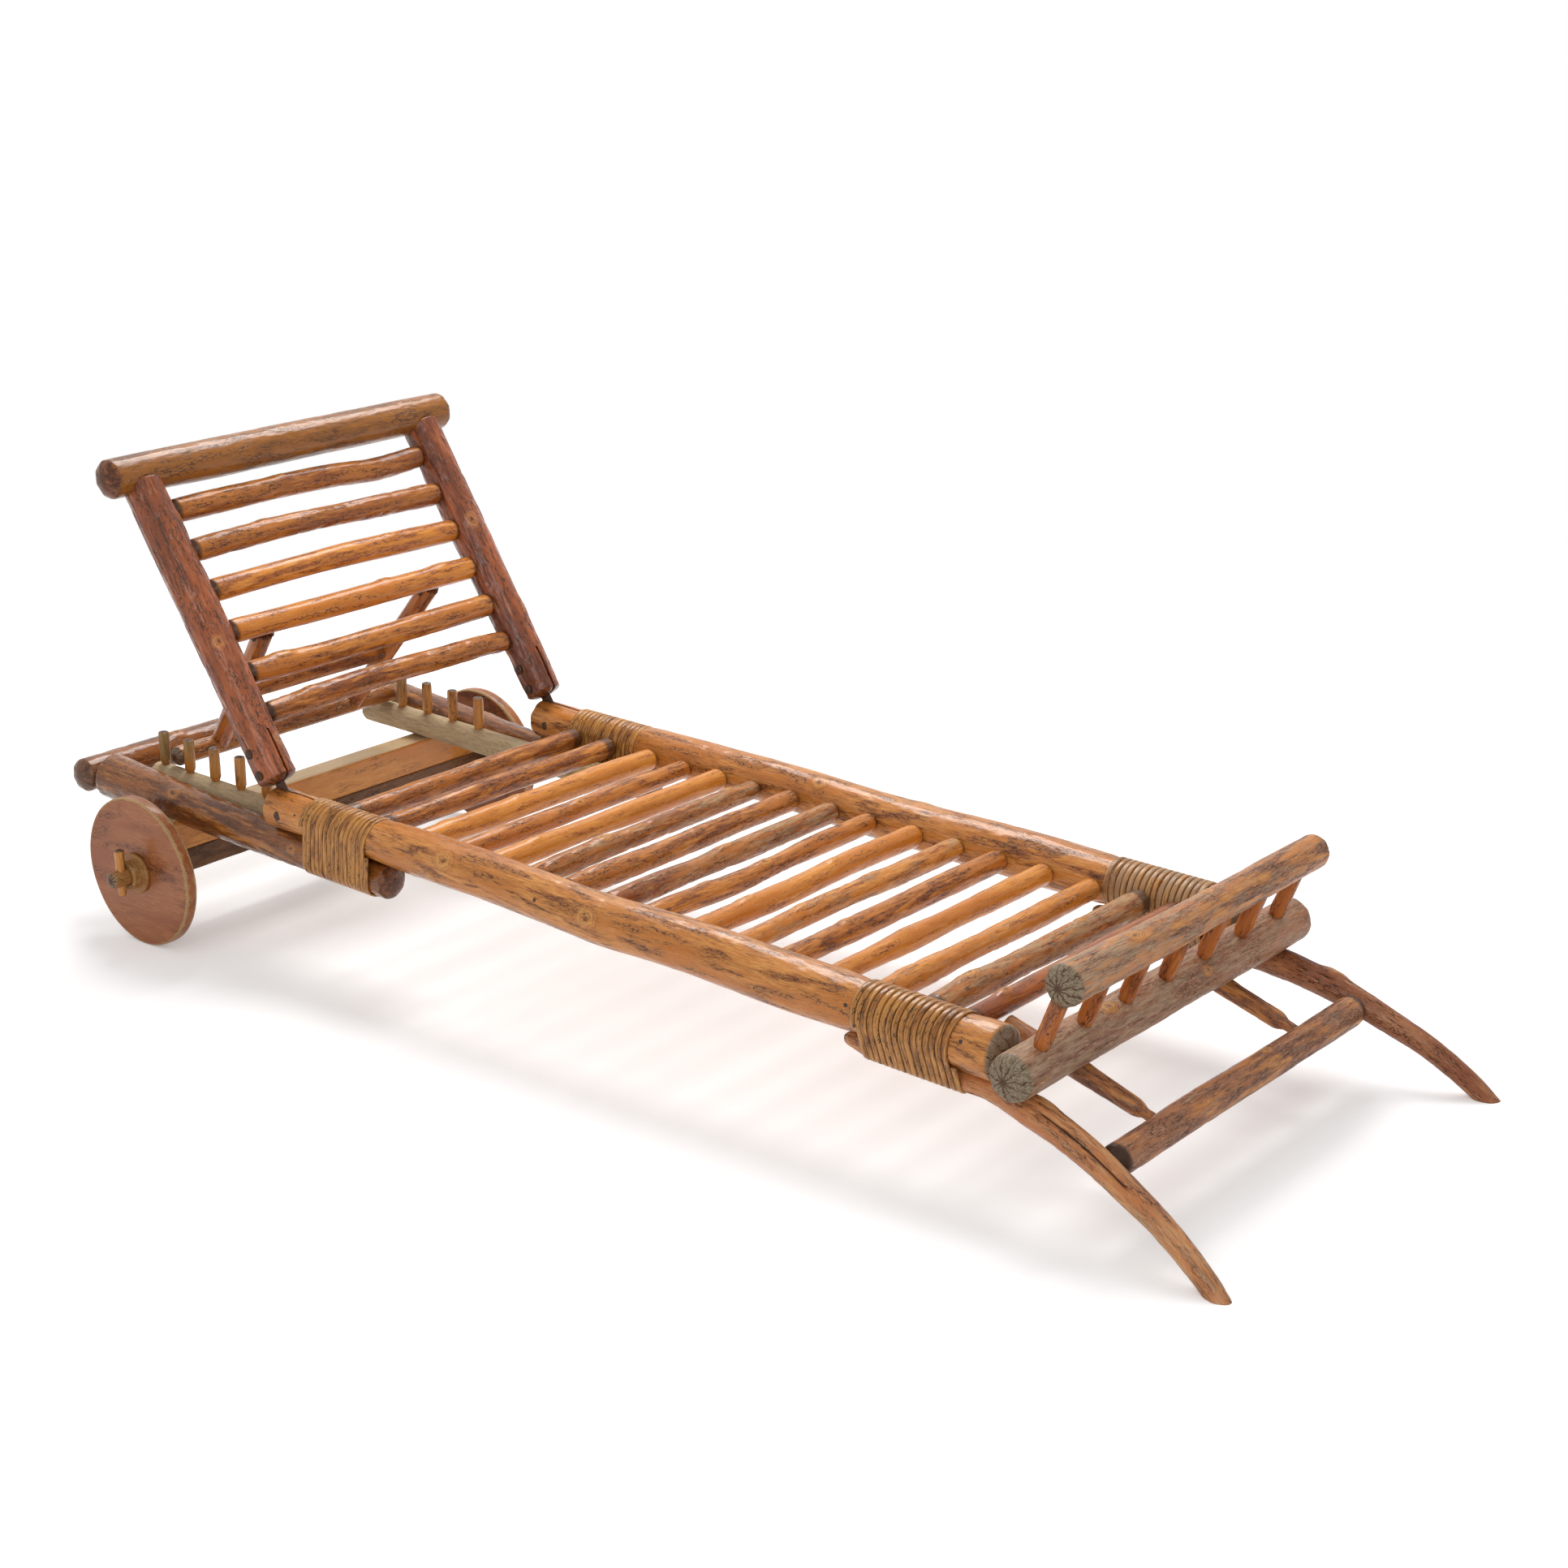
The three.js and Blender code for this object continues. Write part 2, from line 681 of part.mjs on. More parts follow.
// Foot stand. The bent legs run on from under the seat rails, out past the foot rail and down to the ground.
// The lashed stretch is straight; the bends are shares of the reach, the fall and the splay beyond it.
const footRailPlace = railFootReach + touchGap + footRailRadius;
const legBends = [
  { reachShare: 0.218, fallShare: 0.013, splayShare: 0.2 },
  { reachShare: 0.439, fallShare: 0.157, splayShare: 0.4 },
  { reachShare: 0.602, fallShare: 0.333, splayShare: 0.57 },
  { reachShare: 0.741, fallShare: 0.503, splayShare: 0.72 },
  { reachShare: 0.882, fallShare: 0.748, splayShare: 0.87 },
  { reachShare: 0.955, fallShare: 0.912, splayShare: 0.95 },
  { reachShare: 1, fallShare: 1, splayShare: 1 },
];
const legGirths = [
  { share: 0, girth: 0.5 },
  { share: 0.06, girth: 1 },
  { share: 0.34, girth: 1 },
  { share: 0.44, girth: 1.34 },
  { share: 0.62, girth: 1.19 },
  { share: 0.8, girth: 1 },
  { share: 1, girth: 0.78 },
];

function legRadiusAt(share) {
  const next = Math.max(1, legGirths.findIndex((entry) => entry.share >= share));
  const [before, after] = [legGirths[next - 1], legGirths[next]];
  const part = (share - before.share) / (after.share - before.share);
  return legLashedRadius * THREE.MathUtils.lerp(before.girth, after.girth, part);
}

function bentLeg(sign, extra) {
  const y = sign * railSpan / 2;
  const lashed = [legTailPlace, footLashingStart, footLashingEnd, footLashingEnd + legStraightBeyond];
  const points = lashed.map((along) => place(along, y, -lashedLegDropAt(along)));
  for (const { reachShare, fallShare, splayShare } of legBends) {
    points.push(place(
      footLashingEnd + legReach * reachShare,
      y + sign * legSplay * splayShare,
      -lashedLegDropAt(footLashingEnd) - legFall * fallShare,
    ));
  }
  return bentPole(new THREE.CatmullRomCurve3(points), legRadiusAt, extra, legDome);
}

const legDropAtFootRail = lashedLegDropAt(footLashingEnd) + legFall * legBends[0].fallShare;
const footRailRise = legSaddleHeight + touchGap + footRailRadius - legDropAtFootRail;

function footRail(extra) {
  const radius = footRailRadius + extra;
  const [start, end] = [
    place(footRailPlace, -footRailHalf, footRailRise),
    place(footRailPlace, footRailHalf, footRailRise),
  ];
  return pole(start, end, radius, radius, footRailDome, footRailDome, railSides);
}

function upperFootRail(extra) {
  const x = footRailPlace + upperFootRailOut;
  const z = footRailRise + upperFootRailUp;
  const radius = upperFootRailRadius + extra;
  const [start, end] = [place(x, -upperFootRailHalf, z), place(x, upperFootRailHalf, z)];
  return pole(start, end, radius, radius, upperFootRailDome, upperFootRailDome, railSides);
}

function spindle(y) {
  const foot = place(footRailPlace, y, footRailRise);
  const head = place(footRailPlace + upperFootRailOut, y, footRailRise + upperFootRailUp);
  const profile = [
    new THREE.Vector2(0, 0),
    new THREE.Vector2(spindleFootRadius, 0),
    new THREE.Vector2(spindleFootRadius, footRailRadius),
    new THREE.Vector2(spindleRadius, spindleFootLength),
    new THREE.Vector2(spindleRadius, foot.distanceTo(head)),
    new THREE.Vector2(0, foot.distanceTo(head)),
  ];
  return turned(profile, foot, head, smallSides);
}

let footboard = footRail(0);
for (let i = 0; i < spindleCount; i += 1) {
  footboard = footboard.add(spindle(spindleShift + spindlePitch * (i - (spindleCount - 1) / 2)));
}
footboard = footboard.subtract(upperFootRail(touchGap));
addPiece(deck, 'foot_rail_lower', footboard, 'weatheredPole');
addPiece(deck, 'foot_rail_upper', upperFootRail(0), 'weatheredPole');

// Everything below the ground, in the deck's own sloping frame.
function groundCut() {
  const geometry = new THREE.BoxGeometry(4 * railFootReach, 2 * railFootReach, railFootReach);
  geometry.translate(railFootReach, 0, -railFootReach / 2);
  geometry.applyMatrix4(deck.matrix.clone().invert());
  return solidFrom(geometry);
}

for (const { name, sign } of sides) {
  let leg = bentLeg(sign, 0);
  leg = leg.subtract(seatRail(sign, touchGap));
  leg = leg.subtract(footRail(touchGap));
  leg = leg.subtract(groundCut());
  addPiece(deck, `bent_leg_${name}`, leg, 'barkPole');
}

function legStretcher(extra) {
  const [start, end] = [
    place(stretcherPlace, -railSpan / 2 - legSplay / 2, -stretcherDrop),
    place(stretcherPlace, railSpan / 2 + legSplay / 2, -stretcherDrop),
  ];
  const profile = tenonProfile(
    start.distanceTo(end),
    stretcherRadius + extra,
    stretcherTenonRadius + extra,
    stretcherTenonLength - extra,
    stretcherShoulder,
  );
  return turned(profile, start, end, poleSides);
}

let stretcher = legStretcher(0);
for (const { sign } of sides) {
  stretcher = stretcher.subtract(bentLeg(sign, touchGap));
}
addPiece(deck, 'leg_stretcher', stretcher, 'weatheredPole');

const rungFat = bar(
  place(endRungPlace, -railSpan / 2, 0),
  place(endRungPlace, railSpan / 2, 0),
  endRungRadius + touchGap,
  endRungRadius + touchGap,
  slatSides,
);
for (const { name, sign } of sides) {
  const y = sign * braceSpan / 2;
  const [start, end] = [place(endRungPlace, y, -braceRearDrop), place(stretcherPlace, y, -stretcherDrop)];
  const length = start.distanceTo(end);
  const profile = [
    new THREE.Vector2(0, 0),
    new THREE.Vector2(braceRadius, 0),
    new THREE.Vector2(braceRadius, length - stretcherRadius - braceNeckLength),
    new THREE.Vector2(braceNeckRadius, length - stretcherRadius - braceNeckLength / 2),
    new THREE.Vector2(braceNeckRadius, length),
    new THREE.Vector2(0, length),
  ];
  let brace = turned(profile, start, end, smallSides);
  brace = brace.subtract(rungFat).subtract(legStretcher(touchGap)).subtract(footRail(touchGap));
  addPiece(deck, `brace_${name}`, brace, 'peeledPole');
}

// Back: posts with slotted lower ends, slats, the top rail and the steel hinge straps.
function postPole(sign, extra) {
  const y = sign * railSpan / 2;
  const [start, end] = [place(0, y, postStart), place(0, y, topRailReach)];
  return pole(start, end, postRadius + extra, postRadius + extra, postDome, 0, poleSides);
}

function topRail(extra) {
  const radius = topRailRadius + extra;
  const [start, end] = [place(0, -topRailHalf, topRailReach), place(0, topRailHalf, topRailReach)];
  return pole(start, end, radius, radius, topRailDome, topRailDome, railSides);
}

const backSlatHalf = railSpan / 2 - postRadius + backSlatTenonDepth;

function backSlat(along) {
  const profile = tenonProfile(
    2 * backSlatHalf,
    backSlatRadius,
    backSlatTenonRadius,
    backSlatTenonDepth + touchGap,
    backSlatShoulder,
  );
  return turned(profile, place(0, -backSlatHalf, along), place(0, backSlatHalf, along), slatSides);
}

const backSlatPlaces = Array.from(
  { length: backSlatCount },
  (unused, i) => backSlatStart + backSlatPitch * i,
);
const postSlotEnd = strapReach + strapSlotSpare;

// A flat steel plate with round ends, lying in the XZ plane and centred on its own thickness.
function roundedPlate(length, width, thickness) {
  const outline = new THREE.Shape();
  outline.absarc(0, 0, width / 2, Math.PI, 2 * Math.PI, false);
  outline.absarc(0, length - width / 2, width / 2, 0, Math.PI, false);
  const options = { depth: thickness, bevelEnabled: false, curveSegments: plateSteps };
  const geometry = new THREE.ExtrudeGeometry(outline, options);
  geometry.translate(0, 0, -thickness / 2);
  geometry.rotateX(Math.PI / 2);
  return geometry;
}

// A rivet along Y with a head outside each face of the wood.
function rivet(x, y, z, halfGrip) {
  const half = halfGrip + rivetHeadHeight;
  let solid = bar(place(x, y - half, z), place(x, y + half, z), rivetRadius, rivetRadius, smallSides);
  for (const { sign } of sides) {
    const [inner, outer] = [place(x, y + sign * halfGrip, z), place(x, y + sign * half, z)];
    solid = solid.add(bar(inner, outer, rivetHeadRadius, rivetHeadRadius / 2, smallSides));
  }
  return solid;
}

for (const { name, sign } of sides) {
  const y = sign * railSpan / 2;
  const halfSlot = strapThickness / 2 + touchGap;
  const boreRadius = rivetRadius + touchGap;
  let post = postPole(sign, 0);
  post = post.subtract(topRail(touchGap));
  post = post.subtract(boxBetween(
    place(-postRadius - cutOverrun, y - halfSlot, postStart - cutOverrun),
    place(postRadius + cutOverrun, y + halfSlot, postSlotEnd),
  ));
  const reach = postRadius + cutOverrun;
  for (const along of [postRivetFirst, postRivetSecond]) {
    const [start, end] = [place(0, y - reach, along), place(0, y + reach, along)];
    post = post.subtract(bar(start, end, boreRadius, boreRadius, poleSides));
  }
  for (const along of backSlatPlaces) {
    const inner = railSpan / 2 - postRadius - cutOverrun;
    const radius = backSlatTenonRadius + touchGap;
    const [start, end] = [place(0, sign * inner, along), place(0, sign * (backSlatHalf + touchGap), along)];
    post = post.subtract(bar(start, end, radius, radius, slatSides));
  }
  addPiece(back, `back_post_${name}`, post, 'barkPole');

  const plate = roundedPlate(strapReach, strapWidth, strapThickness);
  plate.translate(0, y, 0);
  let strap = solidFrom(plate).add(rivet(0, y, 0, railHeadRadius + touchGap));
  for (const along of [postRivetFirst, postRivetSecond]) {
    strap = strap.add(rivet(0, y, along, postRadius + touchGap));
  }
  addPiece(back, `hinge_strap_${name}`, strap, 'steel');
}

addPiece(back, 'back_top_rail', topRail(0), 'barkPole');

// Prop. Its pivot lies just behind and below one slat, on the line from that slat to the foot bar.
const footBarPlace = place(
  pegPitch / 2 - pegRearPlace,
  0,
  -pegRailDrop + pegRailRadius + footBarRestGap + footBarRadius,
).applyMatrix4(back.matrix.clone().invert());
const propSlatPlace = place(0, 0, backSlatPlaces[propSlatIndex]);
const propLine = footBarPlace.clone().sub(propSlatPlace);
const propDirection = propLine.clone().normalize();
const pivotDistance = backSlatRadius + propPivotBeyondSlat;
const propLength = propLine.length() - pivotDistance;

const prop = new THREE.Group();
prop.name = 'prop';
prop.position.copy(propSlatPlace.clone().addScaledVector(propDirection, pivotDistance));
prop.rotation.y = Math.atan2(-propDirection.x, -propDirection.z);
back.add(prop);
prop.updateMatrix();

// The lugs are let into the slat and reach out to the pivot; they are made in the prop's frame.
function lugPlate(y) {
  const plate = roundedPlate(pivotDistance + lugPastSlatCentre, lugWidth, lugThickness);
  plate.translate(0, y, 0);
  return plate;
}

const lugY = propLegTopSpan / 2;

backSlatPlaces.forEach((along, i) => {
  let slat = backSlat(along);
  if (i === propSlatIndex) {
    for (const { sign } of sides) {
      const half = lugThickness / 2 + touchGap;
      const geometry = new THREE.BoxGeometry(
        lugWidth + 2 * touchGap,
        2 * half,
        pivotDistance + lugPastSlatCentre + touchGap,
      );
      geometry.translate(0, sign * lugY, (pivotDistance + lugPastSlatCentre + touchGap) / 2);
      geometry.applyMatrix4(prop.matrix);
      slat = slat.subtract(solidFrom(geometry));
    }
  }
  addPiece(back, `back_slat_${i + 1}`, slat, 'slat');
});

for (const { name, sign } of sides) {
  const lug = solidFrom(lugPlate(sign * lugY)).add(
    rivet(0, sign * lugY, 0, propLegRadius + lugRivetStandoff),
  );
  const mesh = addPiece(back, `prop_lug_${name}`, lug, 'steel');
  mesh.position.copy(prop.position);
  mesh.rotation.copy(prop.rotation);
}

function footBar(extra) {
  const radius = footBarRadius + extra;
  const [start, end] = [place(0, -footBarHalf, -propLength), place(0, footBarHalf, -propLength)];
  return pole(start, end, radius, radius, footBarDome, footBarDome, slatSides);
}

function propLeg(sign, extra) {
  const foot = place(0, sign * propLegFootSpan / 2, -propLength);
  const pivot = place(0, sign * lugY, 0);
  const head = pivot.clone().add(pivot.clone().sub(foot).normalize().multiplyScalar(propLegHeadroom));
  return bar(foot, head, propLegRadius + extra, propLegRadius + extra, smallSides);
}

for (const { name, sign } of sides) {
  const halfSlot = lugThickness / 2 + touchGap;
  const reach = 2 * propLegRadius;
  const boreRadius = rivetRadius + touchGap;
  let leg = propLeg(sign, 0);
  leg = leg.subtract(footBar(touchGap));
  leg = leg.subtract(boxBetween(
    place(-reach, sign * lugY - halfSlot, -lugSlotDepth),
    place(reach, sign * lugY + halfSlot, reach),
  ));
  const [start, end] = [place(0, sign * lugY - reach, 0), place(0, sign * lugY + reach, 0)];
  leg = leg.subtract(bar(start, end, boreRadius, boreRadius, poleSides));
  addPiece(prop, `prop_leg_${name}`, leg, 'peeledPole');
}

const stretcherZ = -propLength * (1 - propStretcherShare);
const stretcherReach = THREE.MathUtils.lerp(propLegFootSpan, propLegTopSpan, propStretcherShare) / 2;
let propStretcher = bar(
  place(0, -stretcherReach, stretcherZ),
  place(0, stretcherReach, stretcherZ),
  propStretcherRadius,
  propStretcherRadius,
  smallSides,
);
for (const { sign } of sides) {
  propStretcher = propStretcher.subtract(propLeg(sign, touchGap));
}
addPiece(prop, 'prop_stretcher', propStretcher, 'peeledPole');
addPiece(prop, 'prop_foot_bar', footBar(0), 'dustyPole');

// Cane windings. One flat strand goes round both poles, moving on along the rail as it turns.
// A leaning winding lies further on along the rail at its top than at its bottom.
function strandAround(sign, winding) {
  const { start, end, lean } = winding;
  const [upperRings, lowerRings] = [lashingUpperSteps + 1, lashingLowerSteps + 1];
  const ringsPerLoop = upperRings + lowerRings;
  const pitch = (end - start - caneWidth) / lashingLoops;
  const rings = [];
  for (let k = 0; k <= ringsPerLoop * lashingLoops; k += 1) {
    const ringInLoop = k % ringsPerLoop;
    const above = ringInLoop < upperRings;
    const steady = start + caneWidth / 2 + pitch * (k / ringsPerLoop);
    const { drop, upper, lower } = windingArcs(steady, winding);
    const arc = above ? upper : lower;
    const angle = arc.start + arc.step * (above ? ringInLoop : ringInLoop - upperRings);
    const tilt = (Math.sin(angle) + (above ? 1 : -1)) / 2;
    rings.push({ along: steady + lean * tilt, angle, radius: arc.radius, centreZ: above ? 0 : -drop });
  }
  const corners = [[-1, -1], [1, -1], [1, 1], [-1, 1]];
  const positions = [];
  for (const { along, angle, radius, centreZ } of rings) {
    for (const [widthSign, depthSign] of corners) {
      const reach = radius + depthSign * caneThickness / 2;
      const y = sign * (railSpan / 2 + reach * Math.cos(angle));
      positions.push(along + widthSign * caneWidth / 2, y, centreZ + reach * Math.sin(angle));
    }
  }
  const indices = [];
  const corner = (ringIndex, k) => ringIndex * corners.length + (k % corners.length);
  for (let i = 0; i < rings.length - 1; i += 1) {
    for (let k = 0; k < corners.length; k += 1) {
      indices.push(corner(i, k), corner(i, k + 1), corner(i + 1, k + 1));
      indices.push(corner(i, k), corner(i + 1, k + 1), corner(i + 1, k));
    }
  }
  const last = rings.length - 1;
  indices.push(corner(0, 0), corner(0, 2), corner(0, 1));
  indices.push(corner(0, 0), corner(0, 3), corner(0, 2));
  indices.push(corner(last, 0), corner(last, 1), corner(last, 2));
  indices.push(corner(last, 0), corner(last, 2), corner(last, 3));
  if (sign < 0) {
    for (let i = 0; i < indices.length; i += 3) {
      [indices[i + 1], indices[i + 2]] = [indices[i + 2], indices[i + 1]];
    }
  }
  const geometry = new THREE.BufferGeometry();
  geometry.setAttribute('position', new THREE.Float32BufferAttribute(positions, 3));
  geometry.setIndex(indices);
  return { geometry, ringsPerLoop, ringSize: corners.length };
}

// Least distance between the points of one loop and those of the next.
function leastGap({ geometry, ringsPerLoop, ringSize }) {
  const position = geometry.attributes.position;
  const loopSize = ringsPerLoop * ringSize;
  const [here, there] = [new THREE.Vector3(), new THREE.Vector3()];
  let least = Infinity;
  for (let i = 0; i + loopSize < position.count; i += 1) {
    here.fromBufferAttribute(position, i);
    const ringStart = i - (i % ringSize) + loopSize - ringSize;
    for (let k = ringStart; k < Math.min(ringStart + 3 * ringSize, position.count); k += 1) {
      least = Math.min(least, here.distanceTo(there.fromBufferAttribute(position, k)));
    }
  }
  return least;
}

for (const { name, sign } of sides) {
  for (const winding of windings) {
    const strand = strandAround(sign, winding);
    console.log(`${winding.name}_${name}: least gap to itself ${leastGap(strand).toFixed(2)} mm`);
    addPiece(deck, `${winding.name}_${name}`, solidFrom(strand.geometry), 'cane');
  }
}

// The origin is under the middle of the whole lounger.
lounger.updateMatrixWorld(true);
const bounds = new THREE.Box3().setFromObject(lounger, true);
lounger.position.x = -(bounds.min.x + bounds.max.x) / 2;
lounger.updateMatrixWorld(true);

export default lounger;
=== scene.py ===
"""Looks of a rustic pole sun-lounger on two disc wheels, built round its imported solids."""

import json
import logging
import math
from dataclasses import dataclass, field
from enum import Enum
from typing import Any, Callable, Sequence

import bpy
import numpy as np
from mathutils import Matrix, Vector
from mathutils.kdtree import KDTree


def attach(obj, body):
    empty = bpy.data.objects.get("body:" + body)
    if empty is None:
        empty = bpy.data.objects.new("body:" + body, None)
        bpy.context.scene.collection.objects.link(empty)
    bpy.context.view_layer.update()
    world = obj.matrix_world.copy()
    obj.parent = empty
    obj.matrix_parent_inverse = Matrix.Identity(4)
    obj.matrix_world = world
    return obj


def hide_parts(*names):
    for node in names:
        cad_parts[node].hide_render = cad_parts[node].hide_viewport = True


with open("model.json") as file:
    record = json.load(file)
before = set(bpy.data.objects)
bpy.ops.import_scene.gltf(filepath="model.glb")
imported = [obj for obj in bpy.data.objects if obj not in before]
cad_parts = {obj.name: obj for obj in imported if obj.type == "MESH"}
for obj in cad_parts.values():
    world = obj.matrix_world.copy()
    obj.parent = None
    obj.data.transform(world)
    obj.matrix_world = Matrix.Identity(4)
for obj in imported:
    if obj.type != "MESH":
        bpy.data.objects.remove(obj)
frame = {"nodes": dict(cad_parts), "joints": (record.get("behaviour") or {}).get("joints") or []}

log = logging.getLogger("lounger")

MM = 0.001
SEED_STEP = 3.7
SIDES = (("right", -1.0), ("left", 1.0))

Outline = Sequence[tuple[float, float]]


def joint_place(name: str) -> np.ndarray:
    """Gives the place of one of the record's joints.

    Args:
        name: The joint's name.

    Returns:
        The place in metres.
    """
    return np.array(next(j["pos_m"] for j in frame["joints"] if j["name"] == name), float)


def linear(hex_colour: str) -> tuple[float, float, float, float]:
    """Turns an sRGB colour into linear light.

    Args:
        hex_colour: Six hex digits.

    Returns:
        Red, green, blue and an alpha of one.
    """
    shares = [int(hex_colour[i:i + 2], 16) / 255 for i in (0, 2, 4)]
    red, green, blue = (s / 12.92 if s <= 0.04045 else ((s + 0.055) / 1.055) ** 2.4 for s in shares)
    return red, green, blue, 1.0


def unit(vector: np.ndarray) -> np.ndarray:
    """Scales vectors to length one along their last axis."""
    return vector / np.linalg.norm(vector, axis=-1, keepdims=True)


def value_noise(points: np.ndarray, seed: int) -> np.ndarray:
    """Gives smooth noise between -1 and 1 on a lattice of step one.

    Args:
        points: Places, one row each.
        seed: Which noise.

    Returns:
        One value for each place.
    """
    cell = np.floor(points).astype(np.int64)
    part = points - cell
    fade = part**3 * (part * (part * 6 - 15) + 10)
    total = np.zeros(len(points))
    for corner in np.ndindex(2, 2, 2):
        at = cell + np.array(corner)
        key = at[:, 0] * 73856093 ^ at[:, 1] * 19349663 ^ at[:, 2] * 83492791 ^ (seed * 40503 + 977)
        key = ((key ^ (key >> 13)) * 1274126177) & 0x7FFFFFFF
        key ^= key >> 15
        weight = np.prod(np.where(np.array(corner) == 1, fade, 1 - fade), axis=1)
        total += weight * ((key & 0xFFFF) / 32767.5 - 1)
    return total


def smooth_path(points: np.ndarray, count: int) -> np.ndarray:
    """Samples a smooth curve through points at even spacing.

    Args:
        points: The points that it passes through.
        count: How many samples to give.

    Returns:
        The samples, evenly spaced along the curve.
    """
    if len(points) == 2:
        return np.linspace(points[0], points[1], count)
    ends = (2 * points[0] - points[1], 2 * points[-1] - points[-2])
    held = np.vstack([ends[0], points, ends[1]])
    samples = []
    for a, b, c, d in zip(held, held[1:], held[2:], held[3:]):
        knots = np.cumsum([0, *(np.linalg.norm(q - p) ** 0.5 for p, q in ((a, b), (b, c), (c, d)))])
        t = np.linspace(knots[1], knots[2], 40)[:, None]

        def blend(p: np.ndarray, q: np.ndarray, i: int, j: int) -> np.ndarray:
            """Blends two curves between two knots."""
            return ((knots[j] - t) * p + (t - knots[i]) * q) / (knots[j] - knots[i])

        low, mid, high = blend(a, b, 0, 1), blend(b, c, 1, 2), blend(c, d, 2, 3)
        samples.append(blend(blend(low, mid, 0, 2), blend(mid, high, 1, 3), 1, 2))
    line = np.vstack([samples[0], *(s[1:] for s in samples[1:])])
    gone = np.concatenate([[0], np.cumsum(np.linalg.norm(np.diff(line, axis=0), axis=1))])
    even = np.linspace(0, gone[-1], count)
    return np.column_stack([np.interp(even, gone, line[:, k]) for k in range(3)])


@dataclass(frozen=True)
class Tilted:
    """A frame turned about the lounger's cross axis, such as the sloping deck."""

    origin: np.ndarray
    tilt_degrees: float

    def at(self, along: float, across: float, up: float) -> np.ndarray:
        """Gives the place of a point of this frame.

        Args:
            along: Millimetres towards the foot.
            across: Millimetres to the sitter's left.
            up: Millimetres up.

        Returns:
            The place in metres, in the shared frame.
        """
        turn = math.radians(self.tilt_degrees)
        x = along * math.cos(turn) + up * math.sin(turn)
        z = up * math.cos(turn) - along * math.sin(turn)
        return self.origin + np.array([x, across, z]) * MM

    def crossing(self, along: float, half: float, up: float) -> np.ndarray:
        """Gives the ends of a line across the lounger, the right one first.

        Args:
            along: Millimetres towards the foot.
            half: Half its length in millimetres.
            up: Millimetres up.

        Returns:
            Two places in metres.
        """
        return np.array([self.at(along, sign * half, up) for _, sign in SIDES])


HINGE = joint_place("back_recline")
DECK = Tilted(HINGE, 2.32)
BACK = Tilted(HINGE, 2.32 + 56 - 90)


class Section(Enum):
    """Outline of a stick cut across its length."""

    ROUND = "round"
    SQUARE = "square"
    WHITTLED = "whittled"


@dataclass(frozen=True)
class Character:
    """How a stick grew and wore, in this order where a row of numbers gives it.

    Lumps, bark ridges and sway are heights in millimetres. Bareness, weather at both ends and grime are
    shares from 0, none, to 1, all, and the grime comes with painted shade where the ends meet their joints.
    A knot has its place as a share of the length, the degrees round the stick that it faces, its radius and
    how far it stands out. A bend has its place, then millimetres up and to the side, and a split its start,
    its end and the degrees that it faces.
    """

    lumps: float = 1.2
    bark: float = 0.7
    sway: float = 0.0
    bare: float = 0.45
    weather: tuple[float, float] = (0.0, 0.0)
    # Grime, with painted shade, darkening the ends where the stick meets its joints.
    grime_and_shade: float = 0.0
    knots: tuple[tuple[float, float, float, float], ...] = ()
    bends: tuple[tuple[float, float, float], ...] = ()
    split: tuple[float, float, float] | None = None
    cracks: int = 9
    # How far the grime and painted shade reach from each end, in millimetres.
    shade_reach: float = 27.0


@dataclass(frozen=True)
class Stick:
    """A round, square or whittled stick along a path, with radii in millimetres by share of its length."""

    path: np.ndarray
    girths: tuple[tuple[float, float], ...]
    seed: int
    caps: tuple[float, float] = (2.0, 2.0)
    character: Character = Character()
    section: Section = Section.ROUND
    flatness: float = 1.0
    around: int = 40
    pitch: float = 4.0
    upright: bool = False
    material_index: int = 0


def even(radius: float) -> tuple[tuple[float, float], ...]:
    """Gives the girths of a stick that doesn't taper."""
    return (0, radius), (1, radius)


@dataclass
class Shape:
    """Points, faces and surface marks of a mesh that is being made."""

    points: np.ndarray
    faces: list[tuple[int, ...]]
    grain: np.ndarray
    traits: np.ndarray
    marks: np.ndarray
    face_materials: list[int] = field(default_factory=list)

    @staticmethod
    def joined(shapes: Sequence["Shape"]) -> "Shape":
        """Puts several shapes into one.

        Args:
            shapes: The shapes, in order.

        Returns:
            One shape that holds them all.
        """
        faces, materials, offset = [], [], 0
        for shape in shapes:
            faces += [tuple(i + offset for i in face) for face in shape.faces]
            materials += shape.face_materials
            offset += len(shape.points)
        keys = ("points", "grain", "traits", "marks")
        points, grain, traits, marks = (np.vstack([getattr(s, key) for s in shapes]) for key in keys)
        return Shape(points, faces, grain, traits, marks, materials)


